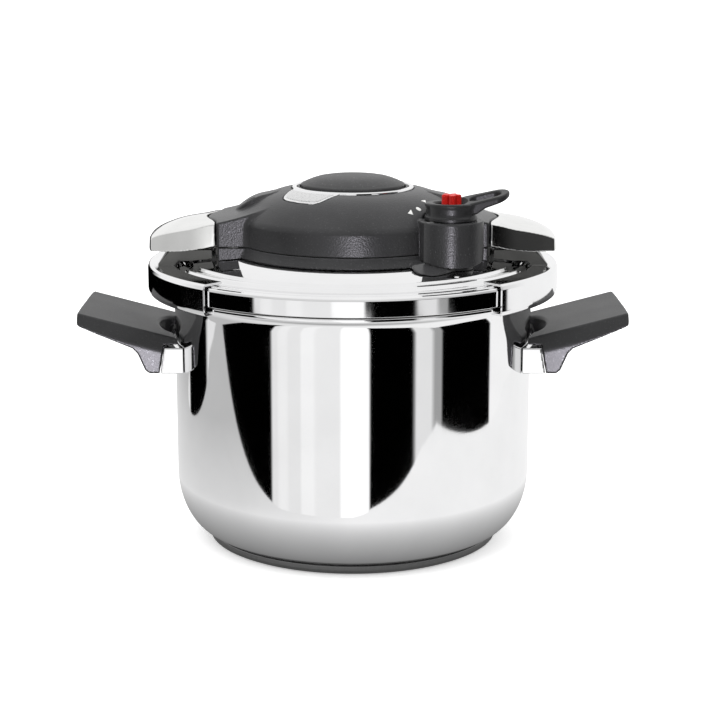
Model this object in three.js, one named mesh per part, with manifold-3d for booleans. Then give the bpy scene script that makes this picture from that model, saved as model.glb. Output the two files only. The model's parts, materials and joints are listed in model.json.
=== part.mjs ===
// Clamp-jaw pressure cooker: 22 cm stainless pot, lid with two sliding jaws, push-button opener,
// selector valve with a pressure indicator. Millimetres, +Z up, origin at the centre of the base.
import * as THREE from 'three';
import { mergeVertices } from 'three/addons/utils/BufferGeometryUtils.js';
import Module from 'manifold-3d';

const wasm = await Module();
wasm.setup();

// ---------- driving dimensions ----------
const SEG = 40; // facets round the large turned parts
const SMALL_SEG = 16; // facets round the small turned parts
const GAP = 0.3; // running gap between neighbouring solids

const POT_R = 111; // outer radius of the wall
const WALL = 1.2; // sheet thickness of pot and lid
const FLOOR_Z = 6; // underside of the pot's own bottom
const KNEE_Z = 44; // where the curved bottom meets the vertical wall
const KNEE_R = 87; // where the curved bottom meets the flat bottom
const FLANGE_R = 122.5; // rolled rim
const FLANGE_LOW = 159.4;
const FLANGE_TOP = 162.4;
const BASE_R = 91.5; // cap under the base

const LID_R = 124.5; // skirt of the lid
const LID_LOW = 163;
const LID_TOP = 174.2; // flat border of the lid
const DOME_TOP = 183; // centre of the lid
const LID_GASKET_R = 123.3; // inside of the skirt

const JAW_R = 127;
const JAW_INNER_R = 125.5;
const JAW_LOW = 157.5;
const JAW_TOP = 176.2;
const JAW_HALF_ANGLE = THREE.MathUtils.degToRad(47.4);
const WING_SCREW_X = 98;
const JAW_TRAVEL = 12; // outward travel of each jaw

const ARM_Z = 184.4; // underside of the jaw arm's top plate
const ARM_TOP = 186;
const ARM_HALF_WIDTH = 26.8; // the arm where it lies under the wing cover
const NECK_HALF_WIDTH = 16; // the arm where it passes under the cover
const PIN_X = 33; // drive pin, jaws closed
const PIN_R = 2.5;

const HOUSING_R = 72; // side wall of the black cover
const BASE_RING_R = 74.6; // black base ring on the lid
const PARTING_Z = 188.2; // joint between base ring and cover
const EAR_HALF_WIDTH = 33;
const EAR_X = 82.5; // corners of the ears
const EAR_NOSE = 7; // how far the nose stands past the corners
const EAR_CROWN = 1.2; // how much lower the long edges of an ear are than its middle
const COVER_WALL = 2.2;
const TRIM_R = 37.6;
const BUTTON_R = 32;
const BUTTON_WELL_R = 32.7;

const TOWER_X = 58; // valve tower
const TOWER_Y = -53.4;
const TOWER_R = 19.5;
const TOWER_TOP = 208;

const CAM_TURN = THREE.MathUtils.degToRad(60); // cam rotation over the full jaw travel
const SLOT_OVERRUN = 0.12; // share of the turn that each spiral slot runs past the pin
const CAM_Z = 187.6;
const CAM_THICK = 1.8;
const CAM_R = 50.5;
const HUB_R = 12;
const HUB_TOP = 206;
const BRIDGE_Z = 192.5; // steel bridge over the cam
const BRIDGE_TOP = 194;
const STUD_Y = 57; // studs that hold base ring and bridge
const BUTTON_TRAVEL = 8;
const PEG_Z = 201; // drive pegs of the button stem, button up

const LOCK_X = -41.5; // pressure lock pin
const LOCK_Y = 37.6;
const SAFETY_X = 41.5; // safety valve
const SAFETY_Y = 37.6;

const HANDLE_HALF_WIDTH = 42;
const HANDLE_TIP_X = 167.5;
const GUARD_LOW = 112;
const GUARD_TOP = 128;

// ---------- solids ----------
function signedVolume(positions, index) {
  let sum = 0;
  for (let i = 0; i < index.length; i += 3) {
    const [a, b, c] = [index[i] * 3, index[i + 1] * 3, index[i + 2] * 3];
    const [ax, ay, az] = positions.slice(a, a + 3);
    const [bx, by, bz] = positions.slice(b, b + 3);
    const [cx, cy, cz] = positions.slice(c, c + 3);
    sum += ax * (by * cz - bz * cy) + ay * (bz * cx - bx * cz) + az * (bx * cy - by * cx);
  }
  return sum / 6;
}

// Turns a closed three.js geometry into a solid whose faces point out.
function solid(geometry) {
  const bare = geometry.clone();
  bare.deleteAttribute('normal');
  bare.deleteAttribute('uv');
  const merged = mergeVertices(bare, 1e-4);
  const vertProperties = Float32Array.from(merged.attributes.position.array);
  const kept = [];
  const index = merged.index.array;
  for (let i = 0; i < index.length; i += 3) {
    const [a, b, c] = [index[i], index[i + 1], index[i + 2]];
    if (a !== b && b !== c && a !== c) kept.push(a, b, c);
  }
  if (signedVolume(vertProperties, kept) < 0) kept.reverse();
  const triVerts = Uint32Array.from(kept);
  return new wasm.Manifold(new wasm.Mesh({ numProp: 3, vertProperties, triVerts }));
}

function toGeometry(body) {
  const mesh = body.getMesh();
  const geometry = new THREE.BufferGeometry();
  geometry.setAttribute('position', new THREE.BufferAttribute(Float32Array.from(mesh.vertProperties), 3));
  geometry.setIndex(new THREE.BufferAttribute(Uint32Array.from(mesh.triVerts), 1));
  geometry.computeVertexNormals();
  return geometry;
}

// Solid of revolution about Z from a closed outline of [radius, z] points.
function turned(outline, segments = SEG) {
  const points = [...outline, outline[0]].map(([r, z]) => new THREE.Vector2(r, z));
  return solid(new THREE.LatheGeometry(points, segments).rotateX(Math.PI / 2));
}

// Prism of an XY outline between two heights.
function prism(outline, z0, z1, holes = []) {
  const shape = new THREE.Shape(outline.map(([x, y]) => new THREE.Vector2(x, y)));
  for (const hole of holes) {
    shape.holes.push(new THREE.Path(hole.map(([x, y]) => new THREE.Vector2(x, y))));
  }
  const options = { depth: z1 - z0, bevelEnabled: false };
  return solid(new THREE.ExtrudeGeometry(shape, options).translate(0, 0, z0));
}

// Prism of an XZ outline between two Y values.
function sidePrism(outline, y0, y1) {
  const shape = new THREE.Shape(outline.map(([x, z]) => new THREE.Vector2(x, z)));
  const options = { depth: y1 - y0, bevelEnabled: false };
  const geometry = new THREE.ExtrudeGeometry(shape, options).rotateX(Math.PI / 2);
  return solid(geometry.translate(0, y1, 0));
}

function box(x0, x1, y0, y1, z0, z1) {
  const geometry = new THREE.BoxGeometry(x1 - x0, y1 - y0, z1 - z0);
  return solid(geometry.translate((x0 + x1) / 2, (y0 + y1) / 2, (z0 + z1) / 2));
}

function cylinder(radius, z0, z1, x = 0, y = 0, segments = SMALL_SEG) {
  const geometry = new THREE.CylinderGeometry(radius, radius, z1 - z0, segments);
  return solid(geometry.rotateX(Math.PI / 2).translate(x, y, (z0 + z1) / 2));
}

// Points of an arc about a centre, both ends included.
function arc(cx, cy, rx, ry, from, to, steps) {
  const points = [];
  for (let i = 0; i <= steps; i += 1) {
    const a = THREE.MathUtils.degToRad(from + ((to - from) * i) / steps);
    points.push([cx + rx * Math.cos(a), cy + ry * Math.sin(a)]);
  }
  return points;
}

function union(...bodies) {
  return bodies.reduce((sum, body) => sum.add(body));
}

// ---------- materials ----------
function material(color, roughness, metalness) {
  return new THREE.MeshStandardMaterial({ color, roughness, metalness });
}

const polishedSteel = () => material(0xd9dadb, 0.08, 1);
const satinSteel = () => material(0x8f9194, 0.35, 1);
const blackPlastic = () => material(0x2b2c2f, 0.5, 0);
const glossBlack = () => material(0x1f2022, 0.3, 0);
const redPlastic = () => material(0xc81a1a, 0.35, 0);
const siliconeRubber = () => material(0xb9bbb8, 0.7, 0);
const aluminium = () => material(0xbfc1c3, 0.4, 1);

// ---------- scene graph ----------
const cooker = new THREE.Group();

function place(parent, name, body, finish) {
  const mesh = new THREE.Mesh(toGeometry(body), finish);
  mesh.name = name;
  parent.add(mesh);
}

// A group turned half way round for the left-hand copy of a right-hand piece.
function sideGroup(side) {
  const group = new THREE.Group();
  group.rotation.z = side === 'left' ? Math.PI : 0;
  cooker.add(group);
  return group;
}

// ---------- pot ----------
function potBody() {
  const outer = [
    [0, FLOOR_Z],
    ...arc(KNEE_R, KNEE_Z, POT_R - KNEE_R, KNEE_Z - FLOOR_Z, -90, 0, 6),
    ...arc(118, FLANGE_LOW - 7, -7, 7, 0, 90, 3),
    [FLANGE_R - 1, FLANGE_LOW],
    [FLANGE_R, FLANGE_LOW + 1],
    [FLANGE_R, FLANGE_TOP - 0.9],
    [FLANGE_R - 1, FLANGE_TOP],
  ];
  const inner = [
    ...arc(113.4, FLANGE_TOP - 3.6, -3.6, 3.6, 90, 0, 2),
    ...arc(KNEE_R, KNEE_Z, POT_R - KNEE_R - WALL, KNEE_Z - FLOOR_Z - WALL, 0, -90, 6),
    [0, FLOOR_Z + WALL],
  ];
  return turned([...outer, ...inner]);
}

function baseCap() {
  const lip = BASE_R - WALL;
  return turned([
    [0, 0], [BASE_R - 3, 0], [BASE_R - 0.8, 1], [BASE_R, 2.8], [BASE_R, FLOOR_Z - GAP],
    [lip, FLOOR_Z - GAP], [lip, WALL], [0, WALL],
  ]);
}

function baseCore() {
  const r = BASE_R - WALL - GAP;
  return turned([[0, WALL + GAP], [r, WALL + GAP], [r, FLOOR_Z - GAP], [0, FLOOR_Z - GAP]]);
}

// ---------- side handles ----------
function handlePlan() {
  const inner = arc(0, 0, POT_R + 2.4, POT_R + 2.4, 21.7, -21.7, 8);
  return [
    ...inner,
    [HANDLE_TIP_X - 3, -HANDLE_HALF_WIDTH],
    [HANDLE_TIP_X - 1.4, -HANDLE_HALF_WIDTH + 1.6],
    [HANDLE_TIP_X, 0],
    [HANDLE_TIP_X - 1.4, HANDLE_HALF_WIDTH - 1.6],
    [HANDLE_TIP_X - 3, HANDLE_HALF_WIDTH],
  ];
}

function handle() {
  const side = sidePrism([
    [117.4, 112.4], [123.8, 112.4], [126.2, 114.4], [130.6, 124.6], [133.6, 127.8], [165.4, 140.8],
    [168.5, 142.6], [168.5, 148.9], [98, 130.5], [98, GUARD_TOP + 1.4], [114.8, GUARD_TOP + 1.4],
  ], -50, 50);
  const bevels = sideBevels();
  const hollow = prism(arc(POT_R, 0, 10.5, 23, -180, 160, 17), 100, 160);
  const screwHole = solid(alongX(new THREE.CylinderGeometry(2.9, 2.9, 40, 12), 120, 0, 119));
  const counterbore = solid(alongX(new THREE.CylinderGeometry(5.2, 5.2, 20, 16), 132.4, 0, 119));
  return side.intersect(prism(handlePlan(), 100, 160)).intersect(bevels).subtract(hollow)
    .subtract(screwHole).subtract(counterbore);
}

// Outline in YZ that takes the long top edges off the grip.
function sideBevels() {
  const half = HANDLE_HALF_WIDTH;
  const shape = new THREE.Shape([
    new THREE.Vector2(-half, 100), new THREE.Vector2(half, 100), new THREE.Vector2(half, 135.6),
    new THREE.Vector2(half - 6.2, 144.4), new THREE.Vector2(-half + 6.2, 144.4),
    new THREE.Vector2(-half, 135.6),
  ]);
  const block = new THREE.ExtrudeGeometry(shape, { depth: 120, bevelEnabled: false });
  // Shape X becomes Y, shape Y becomes Z, depth runs along X and rises with the top of the grip.
  const axes = new THREE.Matrix4().makeBasis(
    new THREE.Vector3(0, 1, 0), new THREE.Vector3(0, 0, 1), new THREE.Vector3(1, 0, 0.262),
  );
  return solid(block.applyMatrix4(axes).translate(90, 0, -16.3));
}

function alongX(geometry, x, y, z) {
  return geometry.rotateZ(Math.PI / 2).translate(x, y, z);
}

function flameGuard() {
  const half = HANDLE_HALF_WIDTH;
  const block = sidePrism([
    [90, GUARD_LOW], [117.1, GUARD_LOW], [114.4, GUARD_TOP], [90, GUARD_TOP],
  ], -half, half);
  const wall = cylinder(POT_R + GAP, 100, 140, 0, 0, SEG);
  const pocket = box(100, 112.6, -12, 12, GUARD_LOW - 1, GUARD_TOP - 2);
  const screwHole = solid(alongX(new THREE.CylinderGeometry(2.9, 2.9, 20, 12), 113, 0, 119));
  return block.subtract(wall).subtract(pocket).subtract(screwHole);
}

// Threaded block on the pot wall, hidden in the pocket of the flame guard.
function handleBracket() {
  const wall = cylinder(POT_R + GAP, 100, 140, 0, 0, SEG);
  const block = box(105, 112.2, -11, 11, 113, 125);
  const hole = solid(alongX(new THREE.CylinderGeometry(2.5, 2.5, 20, 12), 112, 0, 119));
  return block.subtract(wall).subtract(hole);
}

function handleScrew() {
  const shank = solid(alongX(new THREE.CylinderGeometry(2.1, 2.1, 12, 12), 117.4, 0, 119));
  const head = solid(alongX(new THREE.CylinderGeometry(4.6, 4.6, 2.8, 16), 124.2, 0, 119));
  const slot = box(124.8, 127, -0.6, 0.6, 114, 124);
  return shank.add(head).subtract(slot);
}

// ---------- lid ----------
const lidTopLine = [
  [0, DOME_TOP], [40, 182.4], [BASE_RING_R, 180.8], [102, 178], [104, 176.2], [107.2, 176.4],
  [108.8, 176.4], [110.6, LID_TOP], [122.8, LID_TOP],
];

function lidShell() {
  const body = turned([
    ...lidTopLine,
    [124.1, 173.2], [LID_R, 171.8], [LID_R, LID_LOW], [LID_GASKET_R, LID_LOW], [LID_GASKET_R, 172.4],
    [108.8, 172.8], [102, 176.6], [BASE_RING_R, 179.6], [0, DOME_TOP - WALL],
  ]);
  return body
    .subtract(cylinder(5.4, 170, 190))
    .subtract(cylinder(4.4, 170, 190, TOWER_X, TOWER_Y))
    .subtract(cylinder(3.4, 170, 190, LOCK_X, LOCK_Y))
    .subtract(cylinder(5.4, 170, 190, SAFETY_X, SAFETY_Y));
}

function gasket() {
  return turned([
    [113, FLANGE_TOP + GAP + 0.2], [122.8, FLANGE_TOP + GAP + 0.2], [122.8, 171.8], [113, 171.8],
    [113, 169.6], [119.6, 169.2], [119.6, 165.8], [113, 165.4],
  ]);
}

// Everything below the lid's top face, raised by a gap: it is cut from what stands on the lid.
function lidClearance(gap) {
  const line = lidTopLine.map(([r, z]) => [r, z + gap]);
  return turned([...line, [135, LID_TOP + gap], [135, 150], [0, 150]]);
}

// ---------- jaws ----------
function jaw() {
  const channel = turned([
    [118.5, JAW_LOW], [125.6, JAW_LOW], [JAW_R, 158.9], [JAW_R, 174], [126.5, 175.5], [125.2, JAW_TOP],
    [111.8, JAW_TOP], [111.8, 174.7], [125, 174.7], [JAW_INNER_R, 174.2], [JAW_INNER_R, 159.5],
    [125, 159], [118.5, 159],
  ]);
  const reach = 200;
  const wedge = prism([
    [0, 0],
    [reach * Math.cos(JAW_HALF_ANGLE), -reach * Math.sin(JAW_HALF_ANGLE)],
    [reach, 0],
    [reach * Math.cos(JAW_HALF_ANGLE), reach * Math.sin(JAW_HALF_ANGLE)],
  ], 150, 180);
  return channel.intersect(wedge).add(jawArm());
}

// Inverted channel that joins the jaw to the mechanism under the cover.
function jawArm() {
  const half = ARM_HALF_WIDTH;
  const neckHalf = NECK_HALF_WIDTH;
  const outline = [
    [27, ARM_TOP], [111, ARM_TOP], [119.5, JAW_TOP - 0.4], [108.8, JAW_TOP - 0.4],
    [106.2, 178.6], [97, 178.8], [77, 181], [77, ARM_Z], [27, ARM_Z],
  ];
  const inside = [
    [70, 170], [70, ARM_Z], [109.8, ARM_Z], [116.8, JAW_TOP], [116.8, 170],
  ];
  const plate = sidePrism(outline, -half, half).subtract(sidePrism(inside, -half + 1.5, half - 1.5));
  const neck = union(box(20, 85, -neckHalf, neckHalf, 170, 190), box(84.5, 130, -40, 40, 170, 190));
  const pinHole = cylinder(PIN_R + GAP, 180, 190, PIN_X, 0, 12);
  const screwHole = cylinder(1.7, 180, 190, WING_SCREW_X, 0, 12);
  return plate.intersect(neck).subtract(pinHole).subtract(screwHole);
}

function drivePin() {
  return union(
    cylinder(PIN_R, 183, 191.4, PIN_X, 0, 16),
    cylinder(4.2, 183, ARM_Z - GAP, PIN_X, 0, 16),
    cylinder(4.2, ARM_TOP + GAP, 187.2, PIN_X, 0, 16),
  );
}

// Plan of the nose of an ear, from -Y to +Y, pushed out by an offset.
function noseLine(offset, steps = 10) {
  const points = [];
  const half = 30;
  for (let i = 0; i <= steps; i += 1) {
    const y = -half + (2 * half * i) / steps;
    points.push([EAR_X + offset + EAR_NOSE * (0.5 + 0.5 * Math.cos((Math.PI * y) / half)), y]);
  }
  return points;
}

function wingPlan(inset) {
  const nose = noseLine(0.9 + inset).reverse();
  const rim = JAW_R - 1.2 - inset;
  return [
    ...nose,
    [EAR_X + 1 + inset, -32.6 + inset], [112, -28.6 + inset],
    ...arc(0, 0, rim, rim, -11.2, 11.2, 6),
    [112, 28.6 - inset], [EAR_X + 1 + inset, 32.6 - inset],
  ];
}

// Everything under the wing's crowned top: the ridge line, and lower lines towards both long edges.
function wingSide(drop) {
  const ridge = [
    [60, 203.8], [84, 203.6], [97, 203], [104, 201.9], [110, 200.2], [116, 197.9], [120, 195.8], [124, 193],
  ];
  const fall = [0.9, 0.9, 3.2, 3.6, 3.3, 2.7, 1.8, 0.8];
  const tips = [[127 - drop, 189], [128.5 - drop, 180], [60, 180]];
  const bands = [[45, 0.9], [27, 0.36], [14, 0]].map(([reach, share]) => {
    const line = ridge.map(([x, z], i) => [x, z - drop - share * fall[i]]);
    return sidePrism([...line, ...tips], -reach, reach);
  });
  return union(...bands);
}

function wingCover() {
  const shell = prism(wingPlan(0), 180, 206).intersect(wingSide(0));
  const inside = prism(wingPlan(1.3), 179, 206).intersect(wingSide(1.4));
  const lowerEdge = sidePrism([
    [60, 170], [60, 189.2], [83, 189], [92, 187], [104, 185.2], [112, 184.9], [140, 184.6], [140, 170],
  ], -45, 45);
  const post = box(92, 104, -6, 6, ARM_TOP + GAP, 206).intersect(wingSide(0.6));
  const screwBore = cylinder(1.6, 180, 194, WING_SCREW_X, 0, 12);
  return shell.subtract(inside).subtract(lowerEdge).add(post).subtract(screwBore);
}

// Screw from below the arm into the wing's post.
function wingScrew() {
  const shank = cylinder(1.2, ARM_Z - 1, 193, WING_SCREW_X, 0, 12);
  return shank.add(cylinder(2.9, ARM_Z - 2.6, ARM_Z - GAP, WING_SCREW_X, 0, 12));
}

// ---------- housing on the lid ----------
function earPlan(offset) {
  const side = EAR_HALF_WIDTH + offset;
  return [
    [40, -side], [EAR_X - 1.6 + offset, -side], [EAR_X + offset, -side + 1.6],
    ...noseLine(offset), [EAR_X + offset, side - 1.6], [EAR_X - 1.6 + offset, side], [40, side],
  ];
}

function mirrored(outline) {
  return outline.map(([x, y]) => [-x, -y]);
}

// Everything under the tops of both ears, which climb from the nose to the dome.
function earSlope(drop) {
  const half = [
    [40, 213], [60, 210], [66, 208.2], [70, 207.1], [74, 206], [78, 205], [84, 203.8], [92, 202.4],
  ];
  const bands = [[45, 0.8], [26, 0.3], [13, 0]].map(([reach, share]) => {
    const line = half.map(([x, z]) => [x, z - drop - share * EAR_CROWN]);
    const back = line.map(([x, z]) => [-x, z]).reverse();
    return sidePrism([...back, ...line, [92, 170], [-92, 170]], -reach, reach);
  });
  return union(...bands);
}

// Teardrop pad that climbs the dome above an ear.
function dripPad() {
  const plan = [...arc(62, 0, 9, 10.5, -90, 90, 6), [56, 9], [47, 3.5], [46, 0], [47, -5], [53, -10]];
  const side = sidePrism([
    [44, 190], [44, 218.4], [50, 217.8], [58, 216], [62, 214.4], [66, 212.3],
    [72, 208.2], [74, 206], [74, 190],
  ], -20, 20);
  return prism(plan, 190, 220).intersect(side);
}

function lobePlan() {
  return [
    [34, -62], [36.3, -75], [39.5, -80.6], [48.6, -83.3], [57, -79.4], [66, -73], [74, -66], [76.2, -60],
    [72, -50], [60, -30],
  ];
}

function housingBase() {
  const rim = PARTING_Z - GAP;
  const ring = turned([
    [63, 170], [BASE_RING_R, 170], [BASE_RING_R, 181.5], [HOUSING_R + 0.4, rim], [63, rim],
  ]);
  const ears = [earPlan(-1), mirrored(earPlan(-1))]
    .map((plan) => prism(plan, 170, rim).intersect(box(-82, 82, -60, 60, 160, 190)));
  const lobe = prism(lobePlan(), 170, 183.4);
  const posts = [-1, 1].map((way) => union(
    cylinder(5, 170, BRIDGE_Z - GAP, 0, way * STUD_Y),
    box(-4, 4, Math.min(way * STUD_Y, way * 66), Math.max(way * STUD_Y, way * 66), 170, rim),
  ));
  const studBores = [-1, 1].map((way) => cylinder(3.1, 160, 200, 0, way * STUD_Y));
  const armWay = union(
    box(-100, 100, -27.4, 27.4, ARM_Z - 0.4, 200),
    box(75.4, 100, -27.4, 27.4, 160, 200),
    box(-100, -75.4, -27.4, 27.4, 160, 200),
  );
  return union(ring, ...ears, lobe)
    .subtract(cylinder(63, 160, 200, 0, 0, SEG))
    .add(union(...posts))
    .subtract(union(...studBores))
    .subtract(armWay)
    .subtract(cylinder(TOWER_R + GAP, 183.4, 200, TOWER_X, TOWER_Y, 24))
    .subtract(cylinder(8.6, 160, 200, TOWER_X, TOWER_Y))
    .subtract(lidClearance(GAP));
}

// Outside of the dome from the shoulder up to the trim ring, lowered by a drop.
function domeLine(drop) {
  const curve = new THREE.QuadraticBezierCurve(
    new THREE.Vector2(69.6, 205), new THREE.Vector2(55.8, 218.3), new THREE.Vector2(38, 220.4),
  );
  return curve.getPoints(5).map((p) => [p.x - drop * 0.4, p.y - drop]);
}

function housingOutside() {
  return turned([
    [0, PARTING_Z], [HOUSING_R, PARTING_Z], [HOUSING_R - 0.4, 200.5], [HOUSING_R - 1.2, 203.4],
    ...domeLine(0), [38, 217.8], [34.3, 217.8], [34.3, 221.6], [0, 221.6],
  ]);
}

function housingInside() {
  const wall = HOUSING_R - COVER_WALL;
  return turned([
    [0, PARTING_Z - 1], [wall, PARTING_Z - 1], [wall - 0.4, 199.6], [wall - 1.6, 202.4],
    ...domeLine(COVER_WALL + 0.2).filter(([r]) => r > 38), [36, 215.6], [0, 215.6],
  ]);
}

function tabPlan(margin) {
  const points = [
    [36.4, 194], [47.6, 210.5], [50.8, 216], [52.2, 224],
    [52.6, 240], [51.6, 246], [44.5, 251.5], [36.4, 258],
  ];
  const middle = 226;
  return points.map(([r, a]) => {
    const spread = margin === 0 ? 0 : Math.sign(a - middle) * (margin / r);
    const angle = THREE.MathUtils.degToRad(a) + spread;
    const radius = r > 40 ? r + margin : r;
    return [radius * Math.cos(angle), radius * Math.sin(angle)];
  });
}

function tabLayer(plan, low, high) {
  const skin = turned([
    ...domeLine(-high).map(([, z], i) => [domeLine(0)[i][0], z]),
    ...domeLine(-low).map(([, z], i) => [domeLine(0)[i][0], z]).reverse(),
  ]);
  const rim = 220.4;
  const inner = turned([[35, rim + low], [38.2, rim + low], [38.2, rim + high], [35, rim + high]]);
  return skin.add(inner).intersect(prism(plan, 190, 230));
}

function housingCover() {
  const tower = cylinder(TOWER_R, 183.4 + GAP, TOWER_TOP, TOWER_X, TOWER_Y, 24);
  const towerBore = cylinder(TOWER_R - COVER_WALL, 180, TOWER_TOP - COVER_WALL, TOWER_X, TOWER_Y, 24);
  const ears = [earPlan(0), mirrored(earPlan(0))]
    .map((plan) => prism(plan, PARTING_Z, 215).intersect(earSlope(0)));
  const earBores = [earPlan(-COVER_WALL), mirrored(earPlan(-COVER_WALL))]
    .map((plan) => prism(plan, PARTING_Z - 1, 215).intersect(earSlope(COVER_WALL + 0.3)));
  const pads = union(dripPad(), dripPad().rotate([0, 0, 180])).subtract(cylinder(45, 180, 230, 0, 0, SEG));
  return union(housingOutside(), tower, ...ears, pads)
    .subtract(union(housingInside(), towerBore, ...earBores))
    .subtract(cylinder(BUTTON_WELL_R, 200, 230, 0, 0, SEG))
    .subtract(cylinder(17.3, TOWER_TOP, 230, TOWER_X, TOWER_Y, 24))
    .subtract(cylinder(12.7, 200, 230, TOWER_X, TOWER_Y, 24))
    .subtract(tabLayer(tabPlan(GAP), -1.2, 1.5));
}

function trimRing() {
  const ring = turned([
    [34.6, 218.1], [TRIM_R, 218.1], [TRIM_R, 220.7], [37.2, 221.5], [36.3, 221.9], [35.2, 221.9],
    [34.6, 221.4],
  ]);
  return ring.add(tabLayer(tabPlan(0), -0.85, 0.35));
}

// ---------- opening mechanism ----------
// Spiral slot that drives a pin out by the jaw travel while the cam turns.
function spiralSlot(turn) {
  const half = PIN_R + 0.6;
  const steps = 10;
  const sides = [[], []];
  for (let i = 0; i <= steps; i += 1) {
    const t = (i / steps) * (1 + 2 * SLOT_OVERRUN) - SLOT_OVERRUN;
    const radius = PIN_X + JAW_TRAVEL * t;
    const angle = turn - CAM_TURN * t;
    sides[0].push([(radius + half) * Math.cos(angle), (radius + half) * Math.sin(angle)]);
    sides[1].push([(radius - half) * Math.cos(angle), (radius - half) * Math.sin(angle)]);
  }
  return [...sides[0], ...sides[1].reverse()];
}

// Helical slot in the hub for a drive peg of the button stem.
function helixSlot(turn) {
  const steps = 10;
  const cuts = [];
  for (let i = 0; i <= steps; i += 1) {
    const t = i / steps;
    cuts.push(peg(1.9, 8, 14, turn - CAM_TURN * t, PEG_Z - BUTTON_TRAVEL * t));
  }
  return union(...cuts);
}

// Radial peg between two radii.
function peg(radius, r0, r1, angle, z) {
  const geometry = new THREE.CylinderGeometry(radius, radius, r1 - r0, 8);
  geometry.rotateZ(Math.PI / 2).translate((r0 + r1) / 2, 0, 0).rotateZ(angle).translate(0, 0, z);
  return solid(geometry);
}

function camDisc() {
  const rim = arc(0, 0, CAM_R, CAM_R, 0, 351, 39);
  const disc = prism(rim, CAM_Z, CAM_Z + CAM_THICK, [spiralSlot(0), spiralSlot(Math.PI)]);
  const hub = cylinder(HUB_R, CAM_Z, HUB_TOP, 0, 0, 32);
  return disc.add(hub).subtract(cylinder(9.2, 180, 210, 0, 0, 32))
    .subtract(helixSlot(Math.PI / 2)).subtract(helixSlot(-Math.PI / 2));
}

function hubSleeve() {
  return turned([[5.3, 184], [8.8, 184], [8.8, HUB_TOP + 0.3], [5.3, HUB_TOP + 0.3]], SMALL_SEG);
}

function centerStud() {
  return union(cylinder(5, 178.6, 210.3), cylinder(10, 178.6, 181.4));
}

function hexNut(radius, bore, z0, z1, x = 0, y = 0) {
  return cylinder(radius, z0, z1, x, y, 6).subtract(cylinder(bore, z0 - 1, z1 + 1, x, y));
}

function bridgePlate() {
  const bar = box(-7, 7, -63, 63, BRIDGE_Z, BRIDGE_TOP);
  return cylinder(23, BRIDGE_Z, BRIDGE_TOP, 0, 0, 24).add(bar)
    .subtract(cylinder(15.2, 190, 196, 0, 0, 24))
    .subtract(cylinder(3.1, 190, 196, 0, STUD_Y))
    .subtract(cylinder(3.1, 190, 196, 0, -STUD_Y));
}

function lidStud(way) {
  return cylinder(2.8, 182, 199, 0, way * STUD_Y, 16);
}

// Helical wire spring about a vertical axis.
function coilSpring(coilR, wireR, z0, z1, turns, x = 0, y = 0) {
  class Helix extends THREE.Curve {
    getPoint(t, target = new THREE.Vector3()) {
      const a = 2 * Math.PI * turns * t;
      const z = z0 + wireR + (z1 - z0 - 2 * wireR) * t;
      return target.set(x + coilR * Math.cos(a), y + coilR * Math.sin(a), z);
    }
  }
  const ringPoints = arc(0, 0, wireR, wireR, 0, 288, 4);
  const section = new THREE.Shape(ringPoints.map(([u, v]) => new THREE.Vector2(u, v)));
  const options = { steps: Math.round(turns * 11), extrudePath: new Helix(), bevelEnabled: false };
  return solid(new THREE.ExtrudeGeometry(section, options));
}

function pushButton() {
  return turned([
    [0, 226], [8, 225.4], [11.4, 224], [11.4, 219.6], [BUTTON_R - 1.8, 219.6], [BUTTON_R - 1.8, 215.5],
    [BUTTON_R, 215.5], [BUTTON_R, 222.2], [BUTTON_R - 0.6, 223], [29, 224.6], [24, 226.6],
    [18, 227.8], [12, 228.4], [0, 228.6],
  ]);
}

function buttonStem() {
  const tube = turned([
    [HUB_R + 0.4, 198], [14.5, 198], [14.5, 217.8], [17, 217.8], [17, 219.3], [HUB_R + 0.4, 219.3],
  ], 32);
  const pegs = [Math.PI / 2, -Math.PI / 2].map((angle) => peg(1.2, 9.9, 13.5, angle, PEG_Z));
  return union(tube, ...pegs);
}

// ---------- valves ----------
function selectorKnob() {
  const body = turned([
    [8.4, 203], [12.2, 203], [12.2, 208.4], [15.6, 208.4], [15.6, 210.4], [14.8, 211.6], [14.9, 214],
    [15.6, 216.6], [15.4, 217.9], [14.2, 218.5], [10.8, 218.3], [10, 217.2], [9.6, 213.2], [2.6, 213.2],
    [2.6, 211.6], [8.4, 211.6],
  ], 28);
  return body.add(knobLoop().subtract(cylinder(9.8, 200, 230)));
}

// Finger loop of the knob: a ring plate that rises away from the axis.
function knobLoop() {
  const plan = [
    ...arc(25.8, 0, 8.4, 8.4, -84, 84, 8), [14, 9.8], [4, 9.8], [4, -9.8], [14, -9.8],
  ];
  const hole = [...arc(24.2, 0, 5.4, 5.4, -90, 90, 8), ...arc(15, 0, 3.6, 5.6, 90, 270, 6)];
  const side = sidePrism([
    [4, 214.4], [14.8, 214.2], [20, 217.9], [31.4, 221.6], [34.2, 223], [34.2, 224.8], [33, 225.7],
    [12, 220.4], [4, 218.4],
  ], -12, 12);
  return prism(plan, 205, 232, [hole]).intersect(side);
}

// Five-lobed signal cap with its stem.
function indicatorCap() {
  const outline = [];
  const steps = 40;
  for (let i = 0; i < steps; i += 1) {
    const a = (2 * Math.PI * i) / steps;
    const r = 5.1 + Math.cos(5 * a + 0.9);
    outline.push([r * Math.cos(a), r * Math.sin(a)]);
  }
  return prism(outline, 213.6, 223.2);
}

function indicatorStem() {
  return cylinder(1.9, 200.6, 213.3, 0, 0, 16);
}

function valvePipe() {
  return turned([
    [1.4, 172], [4, 172], [4, 183.2], [8, 183.2], [8, 185.4], [4, 185.4], [4, 199.4], [3.2, 200.2],
    [1.4, 200.2],
  ], SMALL_SEG);
}

function regulatorPoppet() {
  return turned([
    [2.3, 202.2], [3.4, 200.5], [7.6, 200.5], [7.6, 204], [2.3, 204],
  ], SMALL_SEG);
}

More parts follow.
